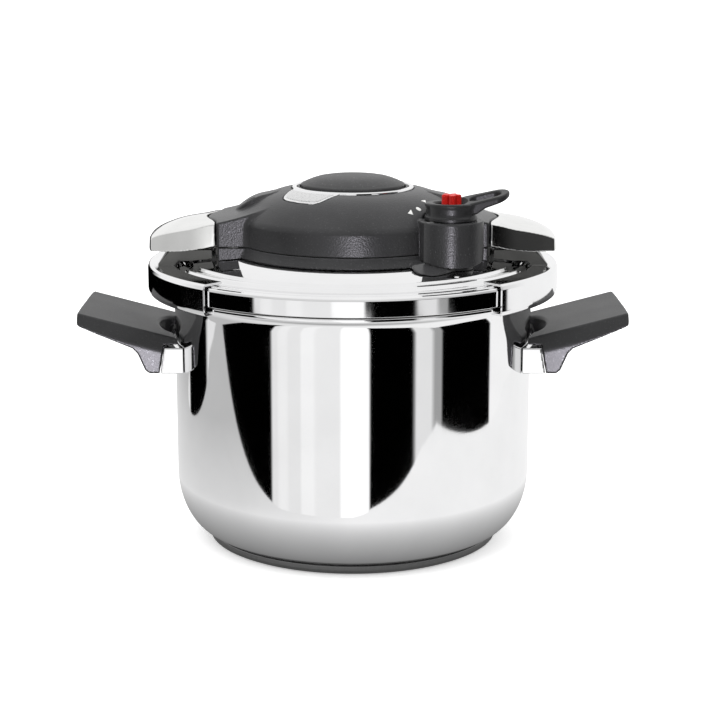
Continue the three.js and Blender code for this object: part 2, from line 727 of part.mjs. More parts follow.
function safetyBody() {
  return turned([
    [2.8, 173], [5, 173], [5, 182.8], [6.2, 182.8], [6.2, 184.2], [5, 184.2], [5, 186.8], [2.8, 186.8],
  ], SMALL_SEG);
}

function safetyPlunger() {
  return union(cylinder(1.5, 178, 187.6, 0, 0, 12), cylinder(4, 187.1, 188.4, 0, 0, 16));
}

function lockPin() {
  return union(
    cylinder(3, 172, 184, 0, 0, 16),
    cylinder(5.4, 172, 174.2, 0, 0, 20),
    cylinder(4.4, 182.4, 183.4, 0, 0, 20),
  );
}

function sealRing(inner, outer, z0, z1) {
  return turned([[inner, z0], [outer, z0], [outer, z1], [inner, z1]], SMALL_SEG);
}

// ---------- assembly ----------
function buildPot() {
  const pot = new THREE.Group();
  cooker.add(pot);
  place(pot, 'pot_body', potBody(), polishedSteel());
  place(pot, 'base_core', baseCore(), aluminium());
  place(pot, 'base_cap', baseCap(), satinSteel());
  for (const side of ['right', 'left']) {
    const group = sideGroup(side);
    place(group, `${side}_handle`, handle(), blackPlastic());
    place(group, `${side}_flame_guard`, flameGuard(), polishedSteel());
    place(group, `${side}_handle_bracket`, handleBracket(), satinSteel());
    place(group, `${side}_handle_screw`, handleScrew(), satinSteel());
  }
}

function buildLid() {
  const lid = new THREE.Group();
  cooker.add(lid);
  place(lid, 'lid_shell', lidShell(), polishedSteel());
  place(lid, 'gasket', gasket(), siliconeRubber());
  place(lid, 'housing_base', housingBase(), blackPlastic());
  place(lid, 'housing_cover', housingCover(), blackPlastic());
  place(lid, 'trim_ring', trimRing(), polishedSteel());
}

function buildJaws() {
  for (const side of ['right', 'left']) {
    const group = sideGroup(side);
    place(group, `${side}_jaw`, jaw(), polishedSteel());
    place(group, `${side}_drive_pin`, drivePin(), satinSteel());
    place(group, `${side}_wing_cover`, wingCover(), polishedSteel());
    place(group, `${side}_wing_screw`, wingScrew(), satinSteel());
  }
}

function buildMechanism() {
  const mechanism = new THREE.Group();
  cooker.add(mechanism);
  place(mechanism, 'cam_disc', camDisc(), satinSteel());
  place(mechanism, 'hub_sleeve', hubSleeve(), satinSteel());
  place(mechanism, 'center_stud', centerStud(), satinSteel());
  place(mechanism, 'center_nut', hexNut(8.4, 5.3, HUB_TOP + 0.6, 210.3), satinSteel());
  place(mechanism, 'bridge_plate', bridgePlate(), satinSteel());
  for (const [end, way] of [['front', -1], ['back', 1]]) {
    place(mechanism, `lid_stud_${end}`, lidStud(way), satinSteel());
    const nut = hexNut(5.6, 3.1, BRIDGE_TOP + GAP, 198, 0, way * STUD_Y);
    place(mechanism, `stud_nut_${end}`, nut, satinSteel());
  }
  place(mechanism, 'button_spring', coilSpring(19, 1, BRIDGE_TOP + GAP, 219.3, 4), satinSteel());
  place(mechanism, 'push_button', pushButton(), glossBlack());
  place(mechanism, 'button_stem', buttonStem(), blackPlastic());
}

function buildValves() {
  const tower = new THREE.Group();
  tower.position.set(TOWER_X, TOWER_Y, 0);
  cooker.add(tower);
  place(tower, 'selector_knob', selectorKnob(), blackPlastic());
  place(tower, 'indicator_cap', indicatorCap(), redPlastic());
  place(tower, 'indicator_stem', indicatorStem(), satinSteel());
  place(tower, 'valve_pipe', valvePipe(), satinSteel());
  place(tower, 'pipe_nut', hexNut(8.5, 4.3, 173.4, 177.6), satinSteel());
  place(tower, 'regulator_poppet', regulatorPoppet(), satinSteel());
  place(tower, 'regulator_spring', coilSpring(6.2, 0.6, 204.3, 211.3, 4), satinSteel());

  const safety = new THREE.Group();
  safety.position.set(SAFETY_X, SAFETY_Y, 0);
  cooker.add(safety);
  place(safety, 'safety_valve_body', safetyBody(), satinSteel());
  place(safety, 'safety_valve_nut', hexNut(8, 5.3, 174.6, 179), satinSteel());
  place(safety, 'safety_plunger', safetyPlunger(), satinSteel());

  const lock = new THREE.Group();
  lock.position.set(LOCK_X, LOCK_Y, 0);
  cooker.add(lock);
  place(lock, 'lock_pin', lockPin(), satinSteel());
  place(lock, 'lock_pin_seal', sealRing(3.4, 5.2, 174.5, 176), siliconeRubber());
}

buildPot();
buildLid();
buildJaws();
buildMechanism();
buildValves();

export default cooker;
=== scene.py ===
"""Clamp-jaw pressure cooker: fine surfaces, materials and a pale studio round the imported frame.

Lengths in the shape code are millimetres in the frame's axes: +X right, -Y front, +Z up.
"""

import json
import math

import bpy
import numpy as np
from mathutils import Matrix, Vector

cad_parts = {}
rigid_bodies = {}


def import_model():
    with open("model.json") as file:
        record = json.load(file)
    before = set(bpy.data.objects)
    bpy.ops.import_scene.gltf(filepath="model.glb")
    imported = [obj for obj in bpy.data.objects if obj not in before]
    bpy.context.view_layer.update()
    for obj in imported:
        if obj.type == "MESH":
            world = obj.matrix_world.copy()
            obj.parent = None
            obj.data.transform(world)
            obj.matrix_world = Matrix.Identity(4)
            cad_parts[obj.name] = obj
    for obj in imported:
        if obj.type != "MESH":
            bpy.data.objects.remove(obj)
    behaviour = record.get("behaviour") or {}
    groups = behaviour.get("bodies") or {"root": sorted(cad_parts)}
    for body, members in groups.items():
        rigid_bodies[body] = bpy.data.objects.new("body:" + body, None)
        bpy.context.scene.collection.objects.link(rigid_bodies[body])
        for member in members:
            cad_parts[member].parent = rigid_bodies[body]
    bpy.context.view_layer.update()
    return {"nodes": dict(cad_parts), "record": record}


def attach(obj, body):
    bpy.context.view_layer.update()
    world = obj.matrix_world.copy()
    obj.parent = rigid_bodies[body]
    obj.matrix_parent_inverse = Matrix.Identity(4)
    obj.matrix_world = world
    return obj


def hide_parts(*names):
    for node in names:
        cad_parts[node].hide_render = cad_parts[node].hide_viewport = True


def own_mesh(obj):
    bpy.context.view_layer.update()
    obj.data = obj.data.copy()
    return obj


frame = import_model()

MM = 0.001
SPIN = 224  # facets round a turned part
BIG_SPIN = 288  # pot and lid
BUTTON_SPIN = 160

# ---------- dimensions shared by several pieces ----------
POT_R = 111.0
WALL = 1.2
PARTING_Z = 188.2
HOUSING_R = 72.0
HANDLE_HALF = 43.0
TOWER_X, TOWER_Y, TOWER_R, TOWER_TOP = 58.0, -53.4, 19.5, 208.0
EAR_X, EAR_NOSE, EAR_HALF = 82.5, 7.0, 33.0
JAW_R, JAW_LOW, JAW_TOP = 127.0, 157.5, 176.2
JAW_HALF_ANGLE = math.radians(47.4)
SIDES = ("right", "left")


# ---------- meshes ----------
def new_piece(name, verts, loops, sizes, normals=None):
    """Object from vertices in millimetres; faces are one list of corners with a size for each face."""
    mesh = bpy.data.meshes.new(name)
    verts = np.asarray(verts, float)
    loops = np.asarray(loops, np.int32)
    sizes = np.asarray(sizes, np.int32)
    mesh.vertices.add(len(verts))
    mesh.vertices.foreach_set("co", (verts * MM).astype(np.float32).ravel())
    mesh.loops.add(len(loops))
    mesh.loops.foreach_set("vertex_index", loops)
    mesh.polygons.add(len(sizes))
    mesh.polygons.foreach_set("loop_start", np.concatenate([[0], np.cumsum(sizes)[:-1]]).astype(np.int32))
    mesh.polygons.foreach_set("loop_total", sizes)
    mesh.update(calc_edges=True)
    mesh.shade_smooth()
    if normals is not None:
        mesh.normals_split_custom_set_from_vertices(np.asarray(normals, float).tolist())
    piece = bpy.data.objects.new(name, mesh)
    bpy.context.scene.collection.objects.link(piece)
    return piece


def turned_copy(piece, name):
    """The left-hand copy of a right-hand piece: half a turn about the Z axis."""
    mesh = piece.data
    count = len(mesh.vertices)
    verts = np.empty(count * 3, np.float32)
    mesh.vertices.foreach_get("co", verts)
    turn = np.array([-1.0, -1.0, 1.0])
    loops = np.empty(len(mesh.loops), np.int32)
    mesh.loops.foreach_get("vertex_index", loops)
    sizes = np.empty(len(mesh.polygons), np.int32)
    mesh.polygons.foreach_get("loop_total", sizes)
    corner = np.empty(len(mesh.loops) * 3, np.float32)
    mesh.corner_normals.foreach_get("vector", corner)
    normals = np.zeros((count, 3))
    normals[loops] = corner.reshape(-1, 3)
    return new_piece(name, verts.reshape(-1, 3) * turn / MM, loops, sizes, normals * turn)


# ---------- turned parts ----------
def rounded(points, closed):
    """Profile points and outward normals from (r, z) or (r, z, corner radius) entries."""
    pts = [tuple(p) + (0.0,) * (3 - len(p)) for p in points]
    area = sum(a[0] * b[1] - b[0] * a[1] for a, b in zip(pts, pts[1:] + pts[:1]))
    if area < 0:
        pts.reverse()
    out, normals = [], []
    last = len(pts) - 1
    for i, (r, z, radius) in enumerate(pts):
        here = np.array([r, z])
        if not closed and i in (0, last):
            other = np.array(pts[1 if i == 0 else last - 1][:2])
            d = (other - here) if i == 0 else (here - other)
            d = d / np.linalg.norm(d)
            out.append(here)
            normals.append(np.array([0.0, np.sign(-d[0])]) if r == 0 else np.array([d[1], -d[0]]))
            continue
        before = np.array(pts[i - 1][:2]) - here
        after = np.array(pts[(i + 1) % len(pts)][:2]) - here
        la, lb = np.linalg.norm(before), np.linalg.norm(after)
        ua, ub = -before / la, after / lb
        turn = math.atan2(ua[0] * ub[1] - ua[1] * ub[0], float(ua @ ub))
        na, nb = np.array([ua[1], -ua[0]]), np.array([ub[1], -ub[0]])
        if radius == 0 or abs(turn) < 0.02:
            n = na + nb
            out.append(here)
            normals.append(n / np.linalg.norm(n))
            continue
        reach = min(radius * math.tan(abs(turn) / 2), 0.48 * la, 0.48 * lb)
        steps = max(2, int(math.ceil(abs(turn) / 0.2)))
        start = here - ua * reach
        bend = reach / math.tan(abs(turn) / 2)
        centre = start - na * bend * np.sign(turn)
        for k in range(steps + 1):
            a = turn * k / steps
            c, s = math.cos(a), math.sin(a)
            n = np.array([na[0] * c - na[1] * s, na[0] * s + na[1] * c])
            out.append(centre + n * bend * np.sign(turn))
            normals.append(n)
    return np.array(out), np.array(normals)


def spin(name, points, steps=SPIN):
    """Turned part whose profile starts and ends on the axis."""
    profile, slopes = rounded(points, False)
    angles = np.arange(steps) * 2 * math.pi / steps
    verts, normals, index = [], [], []
    for (r, z), (nr, nz) in zip(profile, slopes):
        if r < 1e-6:
            index.append([len(verts)] * steps)
            verts.append([0.0, 0.0, z])
            normals.append([0.0, 0.0, math.copysign(1.0, nz)])
            continue
        index.append(list(range(len(verts), len(verts) + steps)))
        for a in angles:
            verts.append([r * math.cos(a), r * math.sin(a), z])
            normals.append([nr * math.cos(a), nr * math.sin(a), nz])
    loops, sizes = [], []
    for low, high in zip(index, index[1:]):
        for j in range(steps):
            k = (j + 1) % steps
            quad = [low[j], low[k], high[k], high[j]]
            face = [v for n, v in enumerate(quad) if v not in quad[:n]]
            loops += face
            sizes.append(len(face))
    return new_piece(name, verts, loops, sizes, normals)


def swept_arc(name, points, half_angle, steps, edge):
    """Closed profile swept round the Z axis between plus and minus half_angle, with softened cut ends."""
    profile, slopes = rounded(points, True)
    inner = profile - slopes * edge
    ring = profile[:, 0].mean()
    rows = [(-half_angle, inner, -1.0), (-half_angle + edge / ring, profile, 0.0)]
    for k in range(1, steps):
        rows.append((-half_angle + 2 * half_angle * k / steps, profile, 0.0))
    rows += [(half_angle - edge / ring, profile, 0.0), (half_angle, inner, 1.0)]
    verts, normals = [], []
    for angle, outline, end in rows:
        c, s = math.cos(angle), math.sin(angle)
        for (r, z), (nr, nz) in zip(outline, slopes):
            verts.append([r * c, r * s, z])
            normals.append([-s * end, c * end, 0.0] if end else [nr * c, nr * s, nz])
    n = len(profile)
    loops, sizes = [], []
    for i in range(len(rows) - 1):
        for j in range(n):
            k = (j + 1) % n
            loops += [i * n + j, (i + 1) * n + j, (i + 1) * n + k, i * n + k]
            sizes.append(4)
    first = len(verts) - n
    loops += list(range(n)) + [first + j for j in reversed(range(n))]
    sizes += [n, n]
    return new_piece(name, verts, loops, sizes, normals)


# ---------- carved parts: a distance field in millimetres turned into an even, closed mesh ----------
def fuse(a, b, r):
    """Union with a fillet."""
    return np.maximum(r, np.minimum(a, b)) - np.hypot(np.maximum(r - a, 0), np.maximum(r - b, 0))


def trim(a, b, r):
    """Intersection with a rounded edge."""
    return np.minimum(-r, np.maximum(a, b)) + np.hypot(np.maximum(r + a, 0), np.maximum(r + b, 0))


def cut(a, b, r):
    """a without b, with a rounded edge."""
    return trim(a, -b, r)


def eased(at, line, reach=2.5):
    """Piecewise line with its corners rounded by a running mean."""
    return np.mean([np.interp(at + s * reach, *line) for s in np.linspace(-1, 1, 9)], axis=0)


def slab(v, low, high):
    return np.maximum(low - v, v - high)


def outline_distance(u, v, points):
    """Signed distance to a closed outline in a plane, negative inside."""
    best = np.full(np.broadcast(u, v).shape, 1e9)
    inside = np.zeros(best.shape, bool)
    for (ax, ay), (bx, by) in zip(points, points[1:] + points[:1]):
        ex, ey = bx - ax, by - ay
        wx, wy = u - ax, v - ay
        t = np.clip((wx * ex + wy * ey) / (ex * ex + ey * ey), 0, 1)
        best = np.minimum(best, (wx - ex * t) ** 2 + (wy - ey * t) ** 2)
        if ey != 0:
            crosses = (v >= min(ay, by)) & (v < max(ay, by))
            inside ^= crosses & (u < ax + ex * (v - ay) / ey)
    return np.where(inside, -1.0, 1.0) * np.sqrt(best)


def capsule(u, v, a, b, ra, rb):
    """Distance to a stadium in a plane whose half width goes from ra at a to rb at b."""
    ex, ey = b[0] - a[0], b[1] - a[1]
    t = np.clip(((u - a[0]) * ex + (v - a[1]) * ey) / (ex * ex + ey * ey), 0, 1)
    return np.hypot(u - a[0] - ex * t, v - a[1] - ey * t) - (ra + (rb - ra) * t)


BLOCK = 8
REACH = 1.5


def sampled(field, low, high, step):
    """Field values on a grid, exact near the surface and only of the right sign elsewhere."""
    low = np.array(low, float) - 1.5 * step
    count = np.ceil((np.array(high, float) + 1.5 * step - low) / (step * BLOCK)).astype(int)
    middles = [low[i] + step * BLOCK * (np.arange(count[i]) + 0.5) for i in range(3)]
    coarse = field(*[g.ravel() for g in np.meshgrid(*middles, indexing="ij")]).reshape(count)
    grid = coarse.astype(np.float32)
    for axis in range(3):
        grid = np.repeat(grid, BLOCK, axis)
    grid = np.pad(grid, ((0, 1),) * 3, "edge")
    near = np.argwhere(np.abs(coarse) < step * BLOCK * REACH)
    offsets = np.stack(np.meshgrid(*[np.arange(BLOCK + 1)] * 3, indexing="ij"), -1).reshape(-1, 3)
    index = (near[:, None, :] * BLOCK + offsets[None]).reshape(-1, 3)
    at = low + step * index
    grid[index[:, 0], index[:, 1], index[:, 2]] = field(at[:, 0], at[:, 1], at[:, 2])
    return grid, low


def slope(field, at, h):
    """Gradient of a field by central differences."""
    parts = []
    for axis in range(3):
        shift = np.zeros(3)
        shift[axis] = h
        a, b = at + shift, at - shift
        parts.append((field(a[:, 0], a[:, 1], a[:, 2]) - field(b[:, 0], b[:, 1], b[:, 2])) / (2 * h))
    return np.stack(parts, 1)


def settle(field, at, step, rounds):
    """Moves points on to the surface."""
    for _ in range(rounds):
        d = field(at[:, 0], at[:, 1], at[:, 2])
        g = slope(field, at, 0.02)
        move = d / np.maximum((g * g).sum(1), 0.2)
        at = at - g * np.clip(move, -step, step)[:, None]
    return at


def carve(name, field, low, high, step):
    """Closed quad mesh of the field's zero surface, with the field's own slopes as its normals."""
    grid, origin = sampled(field, low, high, step)
    inside = grid < 0
    n = np.array(grid.shape)
    total = np.zeros(n - 1, np.int8)
    for i in (0, 1):
        for j in (0, 1):
            for k in (0, 1):
                total += inside[i : n[0] - 1 + i, j : n[1] - 1 + j, k : n[2] - 1 + k]
    active = (total > 0) & (total < 8)
    ids = np.full(active.shape, -1, np.int64)
    ids[active] = np.arange(active.sum())
    number = int(active.sum())
    sums, hits, quads = np.zeros((number, 3)), np.zeros(number), []
    for axis in range(3):
        b, c = (axis + 1) % 3, (axis + 2) % 3
        one = np.zeros(3, int)
        one[axis] = 1
        lead = tuple(slice(0, n[i] - one[i]) for i in range(3))
        tail = tuple(slice(one[i], n[i]) for i in range(3))
        at = np.argwhere(inside[lead] != inside[tail])
        g0 = grid[at[:, 0], at[:, 1], at[:, 2]].astype(float)
        to = at + one
        g1 = grid[to[:, 0], to[:, 1], to[:, 2]].astype(float)
        cross = at + (g0 / (g0 - g1))[:, None] * one
        corners = []
        for db, dc in ((-1, -1), (0, -1), (0, 0), (-1, 0)):
            cell = at.copy()
            cell[:, b] += db
            cell[:, c] += dc
            corner = ids[cell[:, 0], cell[:, 1], cell[:, 2]]
            for i in range(3):
                sums[:, i] += np.bincount(corner, cross[:, i], number)
            hits += np.bincount(corner, minlength=number)
            corners.append(corner)
        quad = np.stack(corners, 1)
        outward = g0 < 0
        quads.append(np.where(outward[:, None], quad, quad[:, ::-1]))
    quads = np.concatenate(quads)
    at = settle(field, origin + step * sums / hits[:, None], step, 3)
    for _ in range(3):
        middle = at[quads].mean(1)
        pulled, share = np.zeros_like(at), np.zeros(number)
        for k in range(4):
            for i in range(3):
                pulled[:, i] += np.bincount(quads[:, k], middle[:, i], number)
            share += np.bincount(quads[:, k], minlength=number)
        pull = pulled / share[:, None] - at
        g = slope(field, at, 0.02)
        g /= np.maximum(np.linalg.norm(g, axis=1), 1e-6)[:, None]
        at = at + 0.5 * (pull - g * (pull * g).sum(1)[:, None])
        at = settle(field, at, step, 2)
    g = slope(field, at, 0.05)
    g /= np.maximum(np.linalg.norm(g, axis=1), 1e-6)[:, None]
    return new_piece(name, at, quads.ravel(), np.full(len(quads), 4), g)


# ---------- materials ----------
class Wiring:
    """Adds nodes to a shader tree and links or sets their sockets."""

    def __init__(self, tree):
        self.tree = tree

    def feed(self, socket, value):
        if hasattr(value, "is_linked"):
            self.tree.links.new(value, socket)
        else:
            socket.default_value = value

    def node(self, kind, **inputs):
        """Inputs go by socket name, or by place as i0, i1 and so on."""
        made = self.tree.nodes.new(kind)
        for key, value in inputs.items():
            by_place = key[0] == "i" and key[1:].isdigit()
            self.feed(made.inputs[int(key[1:]) if by_place else key], value)
        return made

    def math(self, kind, a, b=0.0):
        made = self.node("ShaderNodeMath", i0=a, i1=b)
        made.operation = kind
        return made.outputs[0]

    def remap(self, value, low, high, to_low, to_high):
        made = self.node("ShaderNodeMapRange", Value=value)
        for key, number in (("From Min", low), ("From Max", high), ("To Min", to_low), ("To Max", to_high)):
            made.inputs[key].default_value = number
        return made.outputs["Result"]


class Paint(Wiring):
    """Procedural material round one Principled shader."""

    def __init__(self, name, color, roughness, metallic=0.0):
        self.material = bpy.data.materials.new(name)
        self.material.use_nodes = True
        super().__init__(self.material.node_tree)
        self.shader = next(n for n in self.tree.nodes if n.type == "BSDF_PRINCIPLED")
        self.shader.inputs["Base Color"].default_value = (*color, 1)
        self.shader.inputs["Roughness"].default_value = roughness
        self.shader.inputs["Metallic"].default_value = metallic
        self.place = self.tree.nodes.new("ShaderNodeTexCoord").outputs["Object"]

    def stretched(self, x, y, z):
        made = self.node("ShaderNodeMapping", Vector=self.place)
        made.inputs["Scale"].default_value = (x, y, z)
        return made.outputs["Vector"]

    def noise(self, scale, detail=3.0, vector=None):
        made = self.node("ShaderNodeTexNoise", Vector=vector or self.place, Scale=scale, Detail=detail)
        return made.outputs["Fac"]

    def cells(self, scale):
        made = self.node("ShaderNodeTexVoronoi", Vector=self.place, Scale=scale)
        return made.outputs["Distance"]

    def blend(self, share, a, b):
        made = self.tree.nodes.new("ShaderNodeMix")
        made.data_type = "RGBA"
        self.feed(made.inputs[0], share)
        for socket, value in ((made.inputs[6], a), (made.inputs[7], b)):
            self.feed(socket, value if hasattr(value, "is_linked") else (*value, 1))
        return made.outputs[2]

    def color(self, socket):
        self.tree.links.new(socket, self.shader.inputs["Base Color"])

    def roughness(self, socket):
        self.tree.links.new(socket, self.shader.inputs["Roughness"])

    def bump(self, *layers):
        """Layers are (height, strength, distance in millimetres)."""
        under = None
        for height, strength, distance in layers:
            made = self.node("ShaderNodeBump", Height=height, Strength=strength, Distance=distance * MM)
            if under is not None:
                self.tree.links.new(under, made.inputs["Normal"])
            under = made.outputs["Normal"]
        self.tree.links.new(under, self.shader.inputs["Normal"])


def shade(color, factor):
    return tuple(c * factor for c in color)


def polished(name, color, roughness, streak=0.25):
    """Mirror-polished steel: faint swirl marks, soft smudges and a little uneven gloss."""
    p = Paint(name, color, roughness, 1.0)
    smudge = p.noise(38.0, 4.0)
    marks = p.noise(900.0, 2.0, p.stretched(1, 1, 0.04))
    rings = p.noise(1400.0, 2.0, p.stretched(0.05, 0.05, 1))
    p.color(p.blend(p.remap(smudge, 0.35, 0.7, 0, 1), color, shade(color, 0.965)))
    p.roughness(p.math("ADD", p.remap(smudge, 0.3, 0.75, roughness * 0.75, roughness * 1.4),
                       p.math("MULTIPLY", marks, 0.02)))
    p.bump((p.noise(22.0, 1.0), 0.05, 0.35), (marks, streak * 0.12, 0.03), (rings, streak * 0.08, 0.03))
    return p.material


def satin(name, color, roughness, grain=0.4):
    """Satin metal with a fine non-directional blast and slight tone changes."""
    p = Paint(name, color, roughness, 1.0)
    fine = p.noise(2600.0, 3.0)
    broad = p.noise(60.0, 3.0)
    p.color(p.blend(p.remap(broad, 0.35, 0.7, 0, 1), color, shade(color, 0.93)))
    p.roughness(p.remap(broad, 0.3, 0.7, roughness * 0.85, roughness * 1.15))
    p.bump((fine, grain, 0.03))
    return p.material


def brushed(name, color, roughness, along):
    """Brushed metal with hair lines along one direction given by stretch factors."""
    p = Paint(name, color, roughness, 1.0)
    lines = p.noise(1500.0, 4.0, p.stretched(*along))
    p.color(p.blend(p.remap(lines, 0.3, 0.7, 0, 1), shade(color, 0.82), color))
    p.roughness(p.remap(lines, 0.3, 0.7, roughness * 0.8, roughness * 1.3))
    p.bump((lines, 0.25, 0.04))
    return p.material


def moulded(name, color, roughness, grain, depth):
    """Moulded plastic with an eroded grain, tiny glints in it (glossier specks that also carry a painted
    glint as lighter colour) and a slightly worn tone.
    """
    p = Paint(name, color, roughness, 0.0)
    p.shader.inputs["Specular IOR Level"].default_value = 0.22
    pits = p.cells(grain)
    fine = p.noise(grain * 2.3, 2.0)
    broad = p.noise(30.0, 3.0)
    gloss_and_painted_glint = p.remap(p.noise(grain * 1.1, 1.0), 0.66, 0.74, 0, 1)
    tone = p.blend(p.remap(broad, 0.3, 0.7, 0, 1), shade(color, 0.85), shade(color, 1.15))
    # Painted glint: the specks are lighter in colour as well as glossier.
    p.color(p.blend(gloss_and_painted_glint, tone, shade(color, 2.2)))
    p.roughness(p.math("SUBTRACT", p.remap(broad, 0.3, 0.7, roughness * 0.92, roughness * 1.1),
                       p.math("MULTIPLY", gloss_and_painted_glint, 0.14)))
    p.bump((pits, 0.35, depth), (fine, 0.3, depth * 0.6))
    return p.material


def rubber(name, color):
    p = Paint(name, color, 0.62)
    broad = p.noise(90.0, 3.0)
    p.color(p.blend(broad, shade(color, 0.9), shade(color, 1.08)))
    p.bump((p.noise(1500.0, 2.0), 0.2, 0.05))
    return p.material


STEEL = polished("polished_steel", (0.92, 0.92, 0.925), 0.035)
STEEL_SKIRT = polished("polished_steel_pressed", (0.9, 0.9, 0.905), 0.05, 0.5)
SILVER = satin("satin_silver", (0.88, 0.88, 0.87), 0.09, 0.15)
CHROME = polished("bright_chrome", (0.9, 0.9, 0.905), 0.03, 0.1)
TAB_SILVER = brushed("brushed_tab", (0.8, 0.8, 0.8), 0.3, (0.6, 1.0, 1.0))
BASE_STEEL = brushed("brushed_base", (0.3, 0.3, 0.3), 0.42, (1.0, 1.0, 0.15))
INNER_STEEL = satin("inner_steel", (0.62, 0.62, 0.63), 0.3)
ARM_STEEL = satin("arm_steel", (0.16, 0.16, 0.155), 0.34)
CORE = satin("core_aluminium", (0.7, 0.7, 0.71), 0.45)
HOUSING = moulded("housing_plastic", (0.042, 0.042, 0.0435), 0.34, 950.0, 0.18)
HANDLE = moulded("handle_plastic", (0.029, 0.0293, 0.03), 0.4, 1100.0, 0.1)
KNOB = moulded("knob_plastic", (0.026, 0.026, 0.027), 0.36, 1300.0, 0.06)
BUTTON = moulded("button_plastic", (0.046, 0.046, 0.047), 0.44, 950.0, 0.12)
RED = moulded("red_plastic", (0.62, 0.018, 0.014), 0.34, 1800.0, 0.03)
WHITE_INK = rubber("white_ink", (0.85, 0.85, 0.83))
SEAL = rubber("seal_rubber", (0.5, 0.5, 0.48))


def finish(piece, body, material, slot, *nodes):
    piece.data.materials.clear()
    piece.data.materials.append(material)
    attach(piece, body)
    if nodes:
        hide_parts(*nodes)
    return piece


# ---------- pot ----------
def ellipse(cr, cz, ar, az, start, end, steps):
    """Profile points on a quarter of an ellipse, angles in degrees."""
    angles = np.radians(np.linspace(start, end, steps + 1))
    return [(cr + ar * math.cos(a), cz + az * math.sin(a)) for a in angles]


def build_pot():
    knee_r, knee_z, floor_z = 87.0, 44.0, 6.0
    profile = [(0, floor_z)]
    profile += ellipse(knee_r, knee_z, POT_R - knee_r, knee_z - floor_z, -90, 0, 28)
    profile += [(POT_R, 45.5), (POT_R, 60.0), (POT_R, 150.5)]
    profile += ellipse(118.0, 152.4, -7.0, 7.0, 12, 90, 8)
    profile += [(122.5, 159.4, 1.2), (122.5, 162.4, 1.2), (113.4, 162.4)]
    profile += ellipse(113.4, 158.8, -3.6, 3.6, 78, 0, 6)
    profile += [(POT_R - WALL, 157.5), (POT_R - WALL, 45.5)]
    inner_r = POT_R - knee_r - WALL
    profile += ellipse(knee_r, knee_z, inner_r, knee_z - floor_z - WALL, 0, -90, 20)
    profile += [(0, floor_z + WALL)]
    pot = spin("pot_shell", profile, BIG_SPIN)
    finish(pot, "pot", STEEL, "polished_steel", "pot_body")
    cap = spin("base_disc", [
        (0, 0.0), (60, 0.0), (62, 0.35), (86, 0.35), (88.2, 0.0, 0.6), (90.8, 1.2, 1.0), (91.5, 3.0, 1.5),
        (91.5, 5.7, 0.5), (90.3, 5.7, 0.2), (90.3, 1.4, 0.2), (0, 1.4),
    ])
    finish(cap, "pot", BASE_STEEL, "satin_steel", "base_cap")


def handle_field(x, y, z):
    side = [
        (117.4, 112.4), (123.8, 112.4), (126.2, 114.4), (130.6, 124.6), (133.6, 127.8), (165.4, 140.8),
        (168.5, 142.6), (168.5, 148.9), (98.0, 130.5), (98.0, 129.4), (114.8, 129.4),
    ]
    bulge = 1.6 * np.clip(1 - (y / HANDLE_HALF) ** 2, 0, 1) * np.clip((132 - z) / 14.0, 0, 1)
    d = outline_distance(x - bulge, z, side) + 0.5
    tip = 167.5 - 0.7 * (np.abs(y) / HANDLE_HALF) ** 2
    plan = trim(np.abs(y) - HANDLE_HALF, x - tip, 0.6)
    plan = cut(plan, np.hypot(x, y) - (POT_R + 2.4), 0.8)
    rise = z - 0.262 * (x - 90.0) + 16.3
    bevel = (np.abs(y) - HANDLE_HALF) * 0.817 + (rise - 135.6) * 0.576
    d = trim(trim(d, plan, 0.6), bevel, 0.5)
    hollow = (np.hypot((x - POT_R) / 10.5, y / 23.0) - 1) * 9.0
    d = cut(d, hollow, 1.2)
    d = cut(d, np.hypot(y, z - 119.0) - 2.9, 0.2)
    bore = np.maximum(np.hypot(y, z - 119.0) - 5.2, 122.4 - x)
    return cut(d, bore, 0.4) - 0.5


def guard_field(x, y, z):
    front = (x - 117.1) * 0.986 + (z - 112.0) * 0.166
    d = trim(trim(np.abs(y) - HANDLE_HALF, slab(z, 112.0, 128.0), 0.7), front, 0.7)
    d = cut(d, np.hypot(x, y) - (POT_R + 0.3), 0.3)
    pocket = np.maximum(np.maximum(np.abs(y) - 12.0, x - 112.6), z - 126.0)
    d = cut(d, pocket, 0.3)
    return cut(d, np.hypot(y, z - 119.0) - 2.9, 0.2)


def screw_field(x, y, z):
    reach = np.hypot(y, z - 119.0)
    head = trim(reach - 4.6, np.hypot(x - 119.4, reach) - 6.6, 0.3)
    head = trim(head, 122.8 - x, 0.2)
    shank = np.maximum(reach - 2.1, slab(x, 111.4, 124.0))
    slot = np.minimum(np.abs(y) - 0.7, np.abs(z - 119.0) - 0.7)
    slot = np.maximum(np.maximum(slot, reach - 3.0), 124.4 - x)
    return cut(np.minimum(head, shank), slot, 0.1)


def build_handles():
    for field, part, low, high, step, material, slot in (
        (handle_field, "handle", (98, -44, 111), (170, 44, 150), 0.95, HANDLE, "handle_plastic"),
        (guard_field, "flame_guard", (99, -44, 111), (118, 44, 129), 0.8, CHROME, "polished_steel"),
        (screw_field, "handle_screw", (111, -5, 114), (127, 5, 124), 0.35, INNER_STEEL, "satin_steel"),
    ):
        right = carve("right_" + part + "_shape", field, low, high, step)
        left = turned_copy(right, "left_" + part + "_shape")
        for side, piece in zip(SIDES, (right, left)):
            finish(piece, "pot", material, slot, side + "_" + part)


